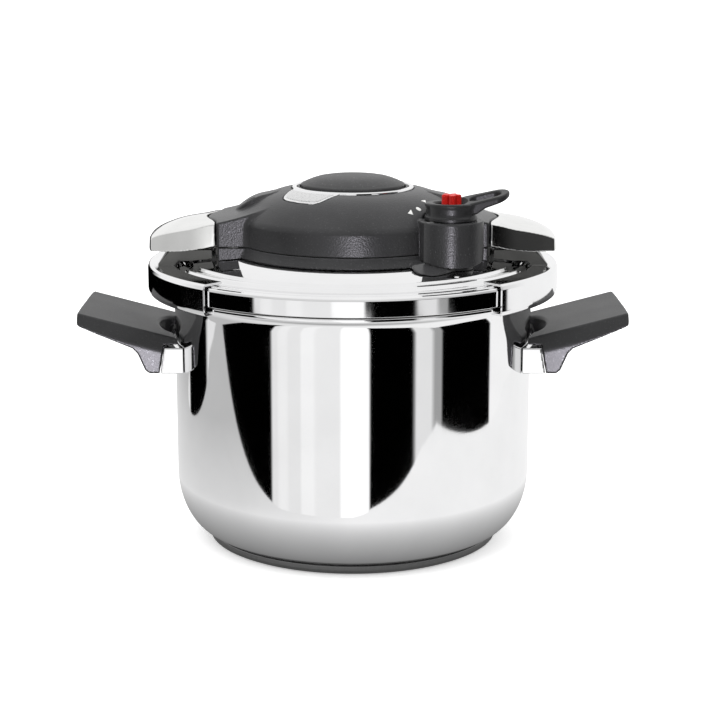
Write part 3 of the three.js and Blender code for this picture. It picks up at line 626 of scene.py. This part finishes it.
# ---------- lid ----------
def build_lid():
    profile = [
        (0, 183.0), (20, 182.85), (40, 182.4), (58, 181.7), (74.6, 180.8), (88, 179.6), (98, 178.45),
        (101.6, 177.9, 1.2), (102.9, 176.2, 1.0), (104.6, 176.2, 0.8), (105.8, 176.75, 1.0),
        (107.4, 177.0, 0.8), (108.9, 176.6, 0.9), (110.4, 174.5, 1.0), (114.8, 174.2, 0.6),
        (116.2, 173.9, 0.6), (117.6, 173.9, 0.6), (118.6, 174.3, 0.6), (120.6, 174.4, 0.4),
        (121.4, 174.05, 0.3), (123.9, 173.9, 1.0), (124.5, 172.3, 1.0),
        (124.5, 170.0), (124.5, 165.0), (124.5, 163.0, 0.4), (123.3, 163.0, 0.3),
        (123.3, 172.4, 0.6), (108.8, 172.8, 1.0), (102, 176.4, 1.0), (74.6, 179.6), (0, 181.8),
    ]
    lid = spin("lid_plate", profile, BIG_SPIN)
    for x, y, r in ((0.0, 0.0, 5.4), (58.0, -53.4, 4.4), (-41.5, 37.6, 3.4), (41.5, 37.6, 5.4)):
        middle = (x * MM, y * MM, 0.18)
        bpy.ops.mesh.primitive_cylinder_add(vertices=48, radius=r * MM, depth=0.03, location=middle)
        tool = bpy.context.object
        hole = lid.modifiers.new("hole", "BOOLEAN")
        hole.operation, hole.solver, hole.object = "DIFFERENCE", "EXACT", tool
        applied = bpy.data.meshes.new_from_object(lid.evaluated_get(bpy.context.evaluated_depsgraph_get()))
        lid.modifiers.clear()
        lid.data = applied
        bpy.data.objects.remove(tool)
    finish(lid, "lid", STEEL_SKIRT, "polished_steel", "lid_shell")


def nose(y):
    """How far the end of an ear stands out, across its width."""
    return EAR_X + EAR_NOSE * (0.5 + 0.5 * np.cos(math.pi * np.clip(y, -30, 30) / 30))


SHOULDER = (69.6, 205.0)
CROWN = (55.8, 218.3)
RIM = (38.0, 220.4)
SHOULDER_SLOPE = (SHOULDER[1] - CROWN[1]) / (SHOULDER[0] - CROWN[0])
_t = np.linspace(1, 0, 90)
DOME_R = (1 - _t) ** 2 * SHOULDER[0] + 2 * _t * (1 - _t) * CROWN[0] + _t ** 2 * RIM[0]
DOME_Z = (1 - _t) ** 2 * SHOULDER[1] + 2 * _t * (1 - _t) * CROWN[1] + _t ** 2 * RIM[1]


def dome_top(r):
    """Height of the cover's dome at a radius."""
    return np.interp(r, DOME_R, DOME_Z) + SHOULDER_SLOPE * np.maximum(r - SHOULDER[0], 0)


def dome_distance(r, z, lift=0.0):
    tilt = np.interp(r, [36.0, 50.0, 62.0, 70.0], [1.0, 0.94, 0.82, 0.74])
    return (z - dome_top(r) - lift) * tilt


TAB = [
    (36.4, 194), (40.0, 199.5), (44.0, 205.6), (48.2, 210.8), (50.4, 214), (51.6, 218), (52.2, 224),
    (52.6, 232), (52.6, 240), (52.2, 244.4), (50.6, 247.3), (47.6, 249.5), (44.5, 251.4), (41.0, 253.6),
    (36.4, 258),
]
TAB_PLAN = [(r * math.cos(math.radians(a)), r * math.sin(math.radians(a))) for r, a in TAB]


def tab_distance(x, y):
    """Plan of the ring's tab with softened corners."""
    return outline_distance(x, y, TAB_PLAN)


def tower_floor(x, y):
    """Underside of the valve tower, a slanted plane."""
    return 186.2 - 0.028 * (x - TOWER_X) + 0.225 * (y - TOWER_Y)


EAR_RISE = ([40, 60, 66, 70, 74, 78, 84, 92], [213, 210.2, 208.2, 207.1, 206.0, 205.0, 203.8, 202.4])
PAD_RISE = ([44, 50, 58, 62, 66, 72, 80], [219.2, 218.1, 216.4, 214.8, 212.6, 208.2, 202.0])


def pad_distance(ax, y, z):
    """Teardrop pad that climbs the dome above an ear."""
    plan = capsule(ax, y, (61.5, 0.5), (52.0, 0.0), 11.0, 8.2)
    plan = fuse(plan, capsule(ax, y, (52.0, 0.0), (46.5, 2.0), 6.0, 1.6), 3.0)
    return trim(plan * 0.9, (z - eased(ax, PAD_RISE) + 0.004 * y * y) * 0.88, 1.4)


def cover_field(x, y, z):
    r = np.hypot(x, y)
    wall = r - (HOUSING_R - 0.4 * (z - PARTING_Z) / 12.0)
    d = trim(dome_distance(r, z), wall, 1.7)
    ax = np.abs(x)
    ear = trim(np.abs(y) - EAR_HALF, ax - nose(y), 2.0)
    ear = trim(ear, (z - eased(ax, EAR_RISE) + 1.2 * (y / EAR_HALF) ** 2) * 0.96, 0.9)
    d = fuse(d, ear, 2.6)
    d = fuse(d, pad_distance(ax, y, z), 1.0)
    away = np.hypot(x - TOWER_X, y - TOWER_Y)
    tower = trim(away - TOWER_R - 0.006 * (TOWER_TOP - z), z - TOWER_TOP, 0.8)
    d = fuse(d, tower, 0.9)
    parting = PARTING_Z + (tower_floor(x, y) - PARTING_Z) * np.clip((TOWER_R + 1.2 - away) / 0.6, 0, 1)
    d = trim(d, parting - z, 0.5)
    slot = capsule(ax, np.abs(y), (64.6, 5.6), (61.4, 6.8), 0.7, 1.2)
    d = cut(d, np.maximum(slot, 206.0 - z), 0.3)
    groove = np.abs(capsule(ax, np.abs(y), (56.5, 0.0), (50.5, 0.0), 11.3, 9.0)) - 0.45
    groove = np.maximum(groove, slab(ax, 46.0, 57.5))
    d = cut(d, np.maximum(groove, -dome_distance(r, z, -1.1)), 0.3)
    lip = trim(slab(r, 32.7, 34.3), z - 221.6, 0.5)
    lip = np.maximum(lip, 214.8 - z)
    seat = np.maximum(slab(r, 34.3, 38.0), 217.8 - z)
    d = np.minimum(cut(d, seat, 0.25), lip)
    d = cut(d, np.maximum(tab_distance(x, y) - 0.35, -dome_distance(r, z, -1.2)), 0.25)
    d = cut(d, np.maximum(away - 17.3, TOWER_TOP - z), 0.35)
    d = cut(d, away - 12.7, 0.3)
    hollow = np.maximum(dome_distance(r, z, -2.6), wall + 2.2)
    hollow = np.maximum(hollow, z - 215.6)
    ear_room = np.maximum(np.abs(y) - EAR_HALF + 2.2, ax - nose(y) + 2.2)
    ear_room = np.maximum(ear_room, z - eased(ax, EAR_RISE) + 1.2 * (y / EAR_HALF) ** 2 + 2.4)
    tower_room = np.maximum(away - TOWER_R + 2.2, z - TOWER_TOP + 2.2)
    hollow = np.minimum(np.minimum(hollow, ear_room), tower_room)
    return cut(cut(d, hollow, 0.2), r - 32.7, 0.4)


def lid_height(r):
    radii = [0, 40, 74.6, 102, 104, 108.8, 110.6, 124]
    return np.interp(r, radii, [183, 182.4, 180.8, 178, 176.2, 176.4, 174.2, 174.2])


LOBE = [
    (34, -62), (36.3, -75), (39.5, -80.6), (47, -81.6), (54, -75), (60, -67), (64, -58), (62, -45), (54, -30),
]


def base_field(x, y, z):
    r = np.hypot(x, y)
    rim = PARTING_Z - 0.35
    flare = r - 72.3 - 2.3 * np.clip((rim - z) / 6.4, 0, 1) ** 1.5
    d = trim(flare, z - rim, 0.4)
    ax = np.abs(x)
    ear = trim(np.abs(y) - EAR_HALF + 0.8, ax - 82.0, 1.0)
    ear = trim(ear, z - rim, 0.4)
    d = fuse(d, ear, 1.0)
    away = np.hypot(x - TOWER_X, y - TOWER_Y)
    lobe = outline_distance(x, y, LOBE) - 0.4
    lobe = trim(lobe, z - np.minimum(184.4, tower_floor(x, y) - 0.35), 0.6)
    collar = trim(away - 14.0, z - tower_floor(x, y) + 0.35, 0.3)
    d = fuse(fuse(d, lobe, 1.2), collar, 1.0)
    arm_way = np.maximum(np.maximum(np.abs(y) - 27.4, 184.0 - z), 63.0 - ax)
    past = np.maximum(np.abs(y) - 27.4, 75.4 - ax)
    d = cut(d, np.minimum(arm_way, past), 0.3)
    inside = np.maximum(r - 63.0, -(away - 11.0))
    d = cut(d, inside, 0.3)
    d = cut(d, away - 8.6, 0.2)
    way = np.abs(y)
    post = np.maximum(np.hypot(x, way - 57.0) - 5.0, z - 192.2)
    web = np.maximum(np.maximum(np.abs(x) - 4.0, slab(way, 57.0, 66.0)), z - rim)
    d = np.minimum(d, np.minimum(post, web))
    d = cut(d, np.hypot(x, way - 57.0) - 3.1, 0.2)
    return trim(d, lid_height(r) + 0.3 - z, 0.3)


def trim_field(x, y, z):
    r = np.hypot(x, y)
    ring = trim(slab(r, 34.6, 37.6), slab(z, 218.1, 221.9), 0.9)
    plan = tab_distance(x, y)
    tab = trim(plan, dome_distance(r, z, 0.35), 0.35)
    tab = np.maximum(np.maximum(tab, -dome_distance(r, z, -0.85)), 34.8 - r)
    d = fuse(ring, tab, 1.2)
    panel = np.maximum(plan + 1.1, -dome_distance(r, z, -0.15))
    panel = np.maximum(np.maximum(panel, 38.7 - r), -(plan + 1.9))
    return cut(d, panel, 0.1)


def build_housing():
    cover = carve("cover_dome", cover_field, (-91, -74, 181), (91, 74, 222.5), 0.66)
    finish(cover, "lid", HOUSING, "housing_plastic", "housing_cover")
    base = carve("cover_foot", base_field, (-84, -86, 173.5), (84, 76, 193), 0.8)
    finish(base, "lid", HOUSING, "housing_plastic", "housing_base")
    ring = carve("dial_ring", trim_field, (-47, -51, 207), (39, 39, 223), 0.42)
    finish(ring, "lid", CHROME, "trim_chrome", "trim_ring")
    ring.data.materials.append(TAB_SILVER)
    for face in ring.data.polygons:
        x, y = (np.float64(c / MM) for c in face.center[:2])
        if tab_distance(x, y) < -1.8 and math.hypot(x, y) > 38.7:
            face.material_index = 1
    dot = np.linspace(0, 6.0, 22)
    marks = (
        ("mark_dot", [(39.2 + 1.6 * math.cos(a), -44.2 + 1.6 * math.sin(a)) for a in dot]),
        ("mark_open", [(35.8, -51.6), (32.6, -52.0), (34.6, -47.6)]),
        ("mark_steam", [(44.0, -33.2), (41.0, -32.6), (43.8, -29.4)]),
    )
    for name, outline in marks:
        finish(decal(name, outline), "lid", WHITE_INK, "trim_chrome")


def decal(name, outline):
    """Thin printed mark that lies on the dome."""
    edge = []
    for (ax, ay), (bx, by) in zip(outline, outline[1:] + outline[:1]):
        edge += [(ax + (bx - ax) * k / 4, ay + (by - ay) * k / 4) for k in range(4)]
    middle = np.mean(edge, axis=0)
    rings = [np.array(edge) * s + middle * (1 - s) for s in (1.0, 0.66, 0.33)]
    n = len(edge)
    verts = [(p[0], p[1], float(dome_top(math.hypot(*p))) - 0.25) for p in rings[0]]
    for ring in rings:
        verts += [(p[0], p[1], float(dome_top(math.hypot(*p))) + 0.05) for p in ring]
    verts.append((*middle, float(dome_top(math.hypot(*middle))) + 0.05))
    verts.append((*middle, float(dome_top(math.hypot(*middle))) - 0.25))
    loops, sizes = [], []
    for level in range(3):
        for j in range(n):
            k = (j + 1) % n
            loops += [level * n + j, level * n + k, (level + 1) * n + k, (level + 1) * n + j]
            sizes.append(4)
    for j in range(n):
        k = (j + 1) % n
        loops += [3 * n + j, 3 * n + k, 4 * n, k, j, 4 * n + 1]
        sizes += [3, 3]
    return new_piece(name, verts, loops, sizes)


# ---------- jaws and wing covers ----------
def arm_field(x, y, z):
    outline = [
        (27, 186), (111, 186), (119.5, 175.8), (108.8, 175.8), (106.2, 178.6), (97, 178.8), (77, 181),
        (77, 184.4), (27, 184.4),
    ]
    room = [(70, 170), (70, 184.4), (109.8, 184.4), (116.8, 176.2), (116.8, 170)]
    width = 16.0 + 10.8 * np.clip((x - 84.5) / 0.8, 0, 1)
    d = trim(outline_distance(x, z, outline), (np.abs(y) - width) * 0.9, 0.5)
    d = cut(d, np.maximum(outline_distance(x, z, room), np.abs(y) - width + 1.5), 0.2)
    d = cut(d, np.hypot(x - 33.0, y) - 2.8, 0.2)
    return cut(d, np.hypot(x - 98.0, y) - 1.7, 0.2)


WING_TOP = (
    [60, 84, 90, 97, 104, 110, 116, 120, 124, 126, 130],
    [203.8, 203.6, 203.4, 203.0, 201.9, 200.2, 197.9, 195.8, 193.0, 191.0, 186.0],
)
WING_FALL = ([84, 90, 97, 104, 110, 116, 120, 126], [1.2, 2.2, 4.0, 4.6, 4.6, 4.0, 3.0, 1.6])
WING_SIDE = ([60, 83, 92, 100, 106, 112, 118, 124], [32.6, 32.6, 32.2, 31.4, 30.4, 29.0, 27.2, 25.0])
WING_EDGE = ([60, 83, 92, 104, 112, 126, 140], [189.2, 189.0, 187.0, 185.2, 184.9, 184.6, 184.6])


def wing_body(x, y, z, inset):
    low = eased(x, WING_EDGE)
    lean = eased(x, ([84.0, 100.0, 118.0], [0.05, 0.12, 0.22]))
    side = eased(x, WING_SIDE) - lean * np.maximum(z - low, 0)
    top = eased(x, WING_TOP) - eased(x, WING_FALL) * (y / 31.0) ** 2
    d = trim((np.abs(y) - side + inset) * 0.96, (z - top + inset) * 0.95, max(0.55 - inset, 0.2))
    rim = np.hypot(x, y) - (JAW_R - 1.2) + inset + 0.05 * np.maximum(z - 186.0, 0)
    d = trim(d, rim, 1.3)
    return trim(d, (nose(y) + 0.9 + inset - x) * 0.95, 0.4)


def wing_field(x, y, z):
    low = eased(x, WING_EDGE)
    d = wing_body(x, y, z, 0.0)
    d = cut(d, wing_body(x, y, z, 1.4), 0.2)
    post = np.maximum(np.maximum(slab(x, 92.0, 104.0), np.abs(y) - 6.0), wing_body(x, y, z, 0.6))
    d = trim(d, (low - z) * 0.97, 0.3)
    post = np.maximum(post, 186.3 - z)
    post = np.maximum(post, -np.maximum(np.hypot(x - 98.0, y) - 1.6, z - 194.0))
    return np.minimum(d, post)


def build_jaws():
    jaw = swept_arc("right_jaw_channel", [
        (118.5, JAW_LOW, 0.3), (126.0, JAW_LOW, 2.2), (JAW_R, 160.4, 2.0), (JAW_R, 173.2, 1.6),
        (126.0, JAW_TOP, 1.9), (111.8, JAW_TOP, 0.3), (111.8, 174.8, 0.3), (125.3, 174.8, 0.6),
        (125.6, 173.8, 0.3), (125.6, 160.0, 0.3), (125.3, 159.0, 0.6), (118.5, 159.0, 0.3),
    ], JAW_HALF_ANGLE, 96, 0.22)
    arm = carve("right_jaw_arm", arm_field, (26, -30.5, 174), (121, 30.5, 187), 0.9)
    wing = carve("right_wing_shell", wing_field, (81, -37, 183), (127, 37, 205), 0.62)
    centres = np.array([face.center for face in wing.data.polygons]) / MM
    skin = wing_body(centres[:, 0], centres[:, 1], centres[:, 2], 0.0) > -0.6
    wing.data.polygons.foreach_set("material_index", np.where(skin, 0, 1).astype(np.int32))
    parts = {"channel": jaw, "arm": arm, "wing": wing}
    for side in SIDES:
        body = side + "_jaw"
        shown = dict(parts)
        if side == "left":
            shown = {
                "channel": turned_copy(jaw, "left_jaw_channel"),
                "arm": turned_copy(arm, "left_jaw_arm"),
                "wing": turned_copy(wing, "left_wing_shell"),
            }
        finish(shown["channel"], body, STEEL_SKIRT, "polished_steel", side + "_jaw")
        finish(shown["arm"], body, ARM_STEEL, "inner_steel", side + "_jaw")
        finish(shown["wing"], body, SILVER, "satin_silver", side + "_wing_cover")
        shown["wing"].data.materials.append(ARM_STEEL)


# ---------- button and valve ----------
def build_button():
    button = spin("button_top", [
        (0, 228.7), (6, 228.6), (12, 228.3), (18, 227.7), (22, 227.0), (25.5, 225.9), (28.5, 224.7, 1.0),
        (32.0, 223.0, 1.2), (32.0, 215.5, 0.3), (30.2, 215.5, 0.3), (30.2, 219.6, 0.4),
        (11.4, 219.6, 0.3), (11.4, 224.2, 0.8), (6, 225.8), (0, 226.2),
    ], BUTTON_SPIN)
    finish(button, "button", BUTTON, "button_plastic", "push_button")


def knob_field(x, y, z):
    u, v = x - TOWER_X, y - TOWER_Y
    r = np.hypot(u, v)
    profile = [
        (8.4, 203), (12.2, 203), (12.2, 208.4), (15.6, 208.4), (15.6, 210.2), (14.9, 211.2), (14.7, 212.6),
        (15.0, 215.2), (15.6, 217.0), (15.4, 218.0), (14.4, 218.5), (11.2, 218.3), (10.2, 217.4),
        (9.6, 213.2),
        (2.6, 213.2), (2.6, 211.6), (8.4, 211.6),
    ]
    d = outline_distance(r, z + 0.03 * v * np.clip((z - 209.0) / 8.0, 0, 1), profile)
    plan = capsule(u, v, (4.0, 0.0), (25.8, 0.0), 10.2, 8.6)
    hole = capsule(u, v, (15.6, 0.0), (24.8, 0.0), 4.7, 4.7)
    lean = 0.15 * v
    top = np.interp(u, [4.0, 12.0, 33.0, 40.0], [218.4, 220.4, 225.2, 226.8]) + lean
    under = np.interp(u, [4.0, 14.8, 20.0, 31.4, 40.0], [213.0, 213.8, 217.2, 221.0, 223.6]) + lean
    loop = trim(plan, (z - top) * 0.97, 1.2)
    loop = trim(loop, (under - z) * 0.93, 1.4)
    loop = cut(loop, hole, 0.9)
    loop = np.maximum(loop, 9.9 - r)
    return fuse(d + 0.3, loop, 1.4) - 0.3 * (loop > 1.0)


def star_field(x, y, z):
    u, v = x - TOWER_X, y - TOWER_Y
    angle = np.arctan2(v, u)
    plan = (np.hypot(u, v) - (5.1 + 1.0 * np.cos(5 * angle + 0.9))) * 0.8
    d = trim(plan, slab(z, 213.6, 223.2), 0.6)
    notch = np.abs(np.sin(2.5 * (angle + 0.18 - math.pi))) * np.hypot(u, v) / 2.5 - 0.22
    d = cut(d, np.maximum(notch, 3.2 - np.hypot(u, v)), 0.25)
    bar = np.maximum(np.abs(v * math.cos(0.6) - u * math.sin(0.6)) - 0.55, 222.3 - z)
    return cut(d, bar, 0.15)


def build_valve():
    knob = carve("selector_cup", knob_field, (41, -70, 202), (96.5, -37, 227), 0.5)
    finish(knob, "selector", KNOB, "housing_plastic", "selector_knob")
    star = carve("signal_star", star_field, (51, -60.5, 213), (65, -46.5, 224), 0.3)
    finish(star, "indicator", RED, "red_plastic", "indicator_cap")


def build_springs():
    """Both coil springs again, copied from the frame and carried by the lid."""
    for node, joint, seat, travel in (
        ("button_spring", "button_press", 0.1943, 0.008),
        ("regulator_spring", "regulator_lift", 0.2113, 0.0015),
    ):
        source = frame["nodes"][node]
        coil = source.copy()
        coil.data = source.data.copy()
        coil.name = node + "_coil"
        for key in list(coil.keys()):
            del coil[key]
        bpy.context.scene.collection.objects.link(coil)
        finish(coil, "lid", INNER_STEEL, "inner_steel", node)
        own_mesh(coil)


# ---------- CAD nodes that stay, by material slot ----------
def dress_frame():
    by_slot = {
        "seal_rubber": SEAL, "core_aluminium": CORE, "satin_steel": INNER_STEEL, "inner_steel": INNER_STEEL,
        "polished_steel": STEEL, "satin_silver": SILVER, "trim_chrome": CHROME, "handle_plastic": HANDLE,
        "housing_plastic": HOUSING, "button_plastic": BUTTON, "red_plastic": RED,
    }
    for part in frame["record"]["subparts"]:
        mesh = frame["nodes"][part["node"]].data
        mesh.materials.clear()
        mesh.materials.append(by_slot[part["material_slot"]])


# ---------- studio ----------
# Light and dark strips round the horizon: start in degrees from the front, right side positive, and level.
BANDS = [
    (-180, 0.86), (-130, 0.0), (-107, 0.84), (-92.5, 0.0), (-53, 0.84), (-48, 0.93), (-42, 0.86), (-33, 0.98),
    (-24, 0.9), (-8, 1.15), (10.5, 0.0), (39.5, 0.82), (52, 0.36), (58.5, 0.0), (98, 0.97),
]
BAND_BLUR = 0.35  # degrees on each side of a strip's edge
SKIRT_SHIFT = 4.0  # degrees that the strips stand further left for flat rays
MIRRORED_WHITE = 0.95
SLEEVE_R, SLEEVE_LOW, SLEEVE_TOP, SLEEVE_FACES = 76.6, 181.6, 262.0, 96
FLOOR_REACH = 60000


def stage_mesh(name, verts, faces, material):
    """Piece of the studio, which isn't part of the object."""
    mesh = bpy.data.meshes.new(name)
    mesh.from_pydata([(x * MM, y * MM, z * MM) for x, y, z in verts], [], faces)
    mesh.materials.append(material)
    thing = bpy.data.objects.new(name, mesh)
    bpy.context.scene.collection.objects.link(thing)
    return thing


def flat_sheet(name, outline, z, material):
    return stage_mesh(name, [(x, y, z) for x, y in outline], [list(range(len(outline)))], material)


def show_in_mirrors_only(thing):
    thing.visible_camera = thing.visible_diffuse = False
    thing.visible_shadow = thing.visible_transmission = False


# The bright table as the pot mirrors it. Its front edge sweeps in from the left, a board lies to the right,
# and a round bay is cut from the left side.
TABLE_LEFT, TABLE_FRONT, TABLE_SWEEP, SWEEP_POWER = -780.0, -220.0, 170.0, 1.3
BOARD = [(40, -260), (240, -310), (330, -300), (420, 0), (500, 120), (500, 500), (-520, 500)]
BAY_X, BAY_Y, BAY_ACROSS, BAY_DEEP = -560.0, 170.0, 195.0, 110.0
BAY_START, BAY_END = math.radians(72), math.radians(-105)


def table_outline():
    front = [(TABLE_LEFT * t, TABLE_FRONT + TABLE_SWEEP * t ** SWEEP_POWER) for t in np.linspace(1, 0, 12)]
    bay = [
        (BAY_X + BAY_ACROSS * math.cos(a), BAY_Y + BAY_DEEP * math.sin(a))
        for a in np.linspace(BAY_START, BAY_END, 16)
    ]
    return front + BOARD + bay + [(-660, 30), (-800, -30)]


def strips_by_angle(net, turned):
    """Level of the strip at an angle given as a share of a full turn."""
    ramp = net.tree.nodes.new("ShaderNodeValToRGB")
    net.feed(ramp.inputs[0], turned)
    stops = []
    for (start, level), (end, _) in zip(BANDS, BANDS[1:] + [(180.0, 0.0)]):
        stops += [(start + BAND_BLUR, level), (end - BAND_BLUR, level)]
    elements = ramp.color_ramp.elements
    while len(elements) > 1:
        elements.remove(elements[-1])
    for i, (angle, level) in enumerate(stops):
        at = (angle + 180.0) / 360.0
        stop = elements.new(at) if i else elements[0]
        stop.position = at
        stop.color = (level, level, level, 1)
    return ramp.outputs[0]


def build_world():
    world = bpy.data.worlds.new("studio")
    bpy.context.scene.world = world
    world.use_nodes = True
    net = Wiring(world.node_tree)
    net.tree.nodes.clear()
    way = net.node("ShaderNodeTexCoord").outputs["Generated"]
    x, y, z = net.node("ShaderNodeSeparateXYZ", i0=way).outputs
    turn = net.math("ARCTAN2", x, net.math("MULTIPLY", y, -1.0))
    share = net.math("ADD", net.math("DIVIDE", turn, 2 * math.pi), 0.5)
    shift = net.remap(z, -0.206, -0.198, 0.0, SKIRT_SHIFT / 360.0)
    strips = strips_by_angle(net, net.math("ADD", share, shift))
    # The strips on the far left stop some way below the horizon.
    left = net.math("LESS_THAN", share, (180.0 - 92.8) / 360.0)
    stopped = net.math("MULTIPLY", left, net.remap(z, -0.222, -0.208, 0.0, 1.0))
    strips = net.math("MULTIPLY", strips, net.math("SUBTRACT", 1.0, stopped))
    back = net.remap(y, -0.2, 0.35, 0.6, 0.97)
    sky = net.remap(z, 0.35, 0.7, 0.0, 1.0)
    above = net.math("ADD", net.math("MULTIPLY", back, net.math("SUBTRACT", 1.0, sky)),
                     net.math("MULTIPLY", sky, MIRRORED_WHITE))
    # Towards the front right the dark strip reaches above the horizon.
    dark = net.math("MULTIPLY", net.remap(x, 0.02, 0.16, 0.0, 1.0), net.remap(y, -0.2, 0.05, 1.0, 0.0))
    dark = net.math("MULTIPLY", dark, net.remap(z, 0.22, 0.4, 1.0, 0.0))
    above = net.math("MULTIPLY", above, net.math("SUBTRACT", 1.0, net.math("MULTIPLY", dark, 0.94)))
    horizon = net.remap(z, -0.02, 0.06, 0.0, 1.0)
    mirror = net.node("ShaderNodeMix", i0=horizon, i2=strips, i3=above).outputs[0]
    glossy = net.node("ShaderNodeBackground", Color=mirror)
    plain = net.node("ShaderNodeBackground", Color=(1.0, 1.0, 1.0, 1))
    soft = net.node("ShaderNodeBackground", Color=net.remap(z, 0.0, 1.0, 0.03, 1.35))
    path = net.node("ShaderNodeLightPath").outputs
    plain, soft, glossy = plain.outputs[0], soft.outputs[0], glossy.outputs[0]
    seen = net.node("ShaderNodeMixShader", i0=path["Is Diffuse Ray"], i1=plain, i2=soft).outputs[0]
    mixed = net.node("ShaderNodeMixShader", i0=path["Is Glossy Ray"], i1=seen, i2=glossy).outputs[0]
    net.node("ShaderNodeOutputWorld", Surface=mixed)


def build_floor():
    paint = Paint("pale_floor", (0.9, 0.9, 0.9), 0.9)
    paint.shader.inputs["Specular IOR Level"].default_value = 0.0
    paint.shader.inputs["Emission Color"].default_value = (1, 1, 1, 1)
    paint.shader.inputs["Emission Strength"].default_value = 0.42
    far = FLOOR_REACH
    floor = flat_sheet("floor", [(-far, -far), (far, -far), (far, far), (-far, far)], -0.2, paint.material)
    floor.visible_glossy = floor.visible_diffuse = False


def build_table():
    """The table as the steel mirrors it: a glowing sheet with painted shade on the left and a painted contact
    shadow close to the pot.
    """
    paint = Paint("table_top", (0, 0, 0), 0.8)
    reach = paint.node("ShaderNodeVectorMath", i0=paint.place)
    reach.operation = "LENGTH"
    apart = paint.node("ShaderNodeSeparateXYZ", i0=paint.place)
    # Painted shade: the glow dims towards the left, and towards the pot as a painted contact shadow.
    painted_left_shade = paint.remap(apart.outputs[0], -0.42, 0.0, 0.52, MIRRORED_WHITE)
    near = paint.remap(reach.outputs["Value"], 0.088, 0.185, 0.2, 1.0)
    glow = paint.math("MULTIPLY", painted_left_shade, near)
    paint.shader.inputs["Specular IOR Level"].default_value = 0.0
    paint.shader.inputs["Emission Strength"].default_value = 1.0
    grey = paint.node("ShaderNodeCombineColor", i0=glow, i1=glow, i2=glow)
    paint.feed(paint.shader.inputs["Emission Color"], grey.outputs[0])
    show_in_mirrors_only(flat_sheet("table_mirrored", table_outline(), 0.0, paint.material))


def build_sleeve():
    """A bright sleeve round the housing, lit outwards only, which the lid mirrors."""
    material = bpy.data.materials.new("mirrored_sleeve")
    material.use_nodes = True
    net = Wiring(material.node_tree)
    net.tree.nodes.clear()
    outside = net.node("ShaderNodeEmission", Strength=MIRRORED_WHITE).outputs[0]
    inside = net.node("ShaderNodeBsdfTransparent").outputs[0]
    turned = net.node("ShaderNodeNewGeometry").outputs["Backfacing"]
    shader = net.node("ShaderNodeMixShader", i0=turned, i1=outside, i2=inside).outputs[0]
    net.node("ShaderNodeOutputMaterial", Surface=shader)
    n = SLEEVE_FACES
    angles = np.arange(n) * 2 * math.pi / n
    verts = [
        (SLEEVE_R * math.cos(a), SLEEVE_R * math.sin(a), z)
        for z in (SLEEVE_LOW, SLEEVE_TOP) for a in angles
    ]
    faces = [(k, (k + 1) % n, n + (k + 1) % n, n + k) for k in range(n)]
    show_in_mirrors_only(stage_mesh("mirrored_sleeve", verts, faces, material))


def area_lamp(name, at, aim, size, energy, color=(1.0, 1.0, 1.0)):
    lamp = bpy.data.lights.new(name, "AREA")
    lamp.size, lamp.energy, lamp.color = size, energy, color
    holder = bpy.data.objects.new(name, lamp)
    holder.location = at
    holder.rotation_euler = (Vector(aim) - Vector(at)).to_track_quat("-Z", "Y").to_euler()
    bpy.context.scene.collection.objects.link(holder)
    return holder


def light_room():
    for name, at, aim, size, energy in (
        ("key", (-0.9, -1.6, 2.1), (0, 0, 0.1), 1.6, 22.0),
        ("fill", (1.7, -1.1, 1.5), (0, 0, 0.1), 1.4, 10.0),
        ("rim", (0.2, 1.9, 1.8), (0, 0, 0.15), 1.6, 14.0),
    ):
        area_lamp(name, at, aim, size, energy).visible_glossy = False


def light_plastics():
    """Soft front lights whose highlights fall on the black plastics alone."""
    for name, at, size, energy, wanted in (
        ("housing_sheen", (0.03, -1.2, -0.12), 0.12, 13.0, (HOUSING, KNOB)),
        ("left_handle_sheen", (-0.29, -1.14, -0.13), 0.3, 34.0, (HANDLE,)),
        ("right_handle_sheen", (0.29, -1.14, -0.13), 0.3, 34.0, (HANDLE,)),
    ):
        holder = area_lamp(name, at, (0, 0, 0.18), size, energy, (0.93, 0.9, 1.0))
        holder.data.use_shadow = False
        holder.visible_diffuse = holder.visible_camera = False
        lit = bpy.data.collections.new(name + "_pieces")
        for piece in bpy.context.scene.objects:
            if piece.type == "MESH" and piece.active_material in wanted:
                lit.objects.link(piece)
        holder.light_linking.receiver_collection = lit


CAMERA_AT = Vector((0.00103, -1.1352, 0.3674))
CAMERA_AIM = Vector((0.00103, 0.0, 0.1146))
CAMERA_LENS, CAMERA_SENSOR = 93.68, 36.0


def build_camera():
    cam = bpy.data.cameras.new("camera")
    cam.sensor_width, cam.lens = CAMERA_SENSOR, CAMERA_LENS
    holder = bpy.data.objects.new("camera", cam)
    holder.location = CAMERA_AT
    holder.rotation_euler = (CAMERA_AIM - CAMERA_AT).to_track_quat("-Z", "Y").to_euler()
    cam.clip_start, cam.clip_end = 0.05, 300.0
    bpy.context.scene.collection.objects.link(holder)
    bpy.context.scene.camera = holder
    bpy.context.scene.view_settings.view_transform = "Standard"


build_camera()
build_world()
build_floor()
build_table()
build_sleeve()
light_room()
dress_frame()
build_pot()
build_handles()
build_lid()
build_housing()
build_jaws()
build_button()
build_valve()
build_springs()
light_plastics()
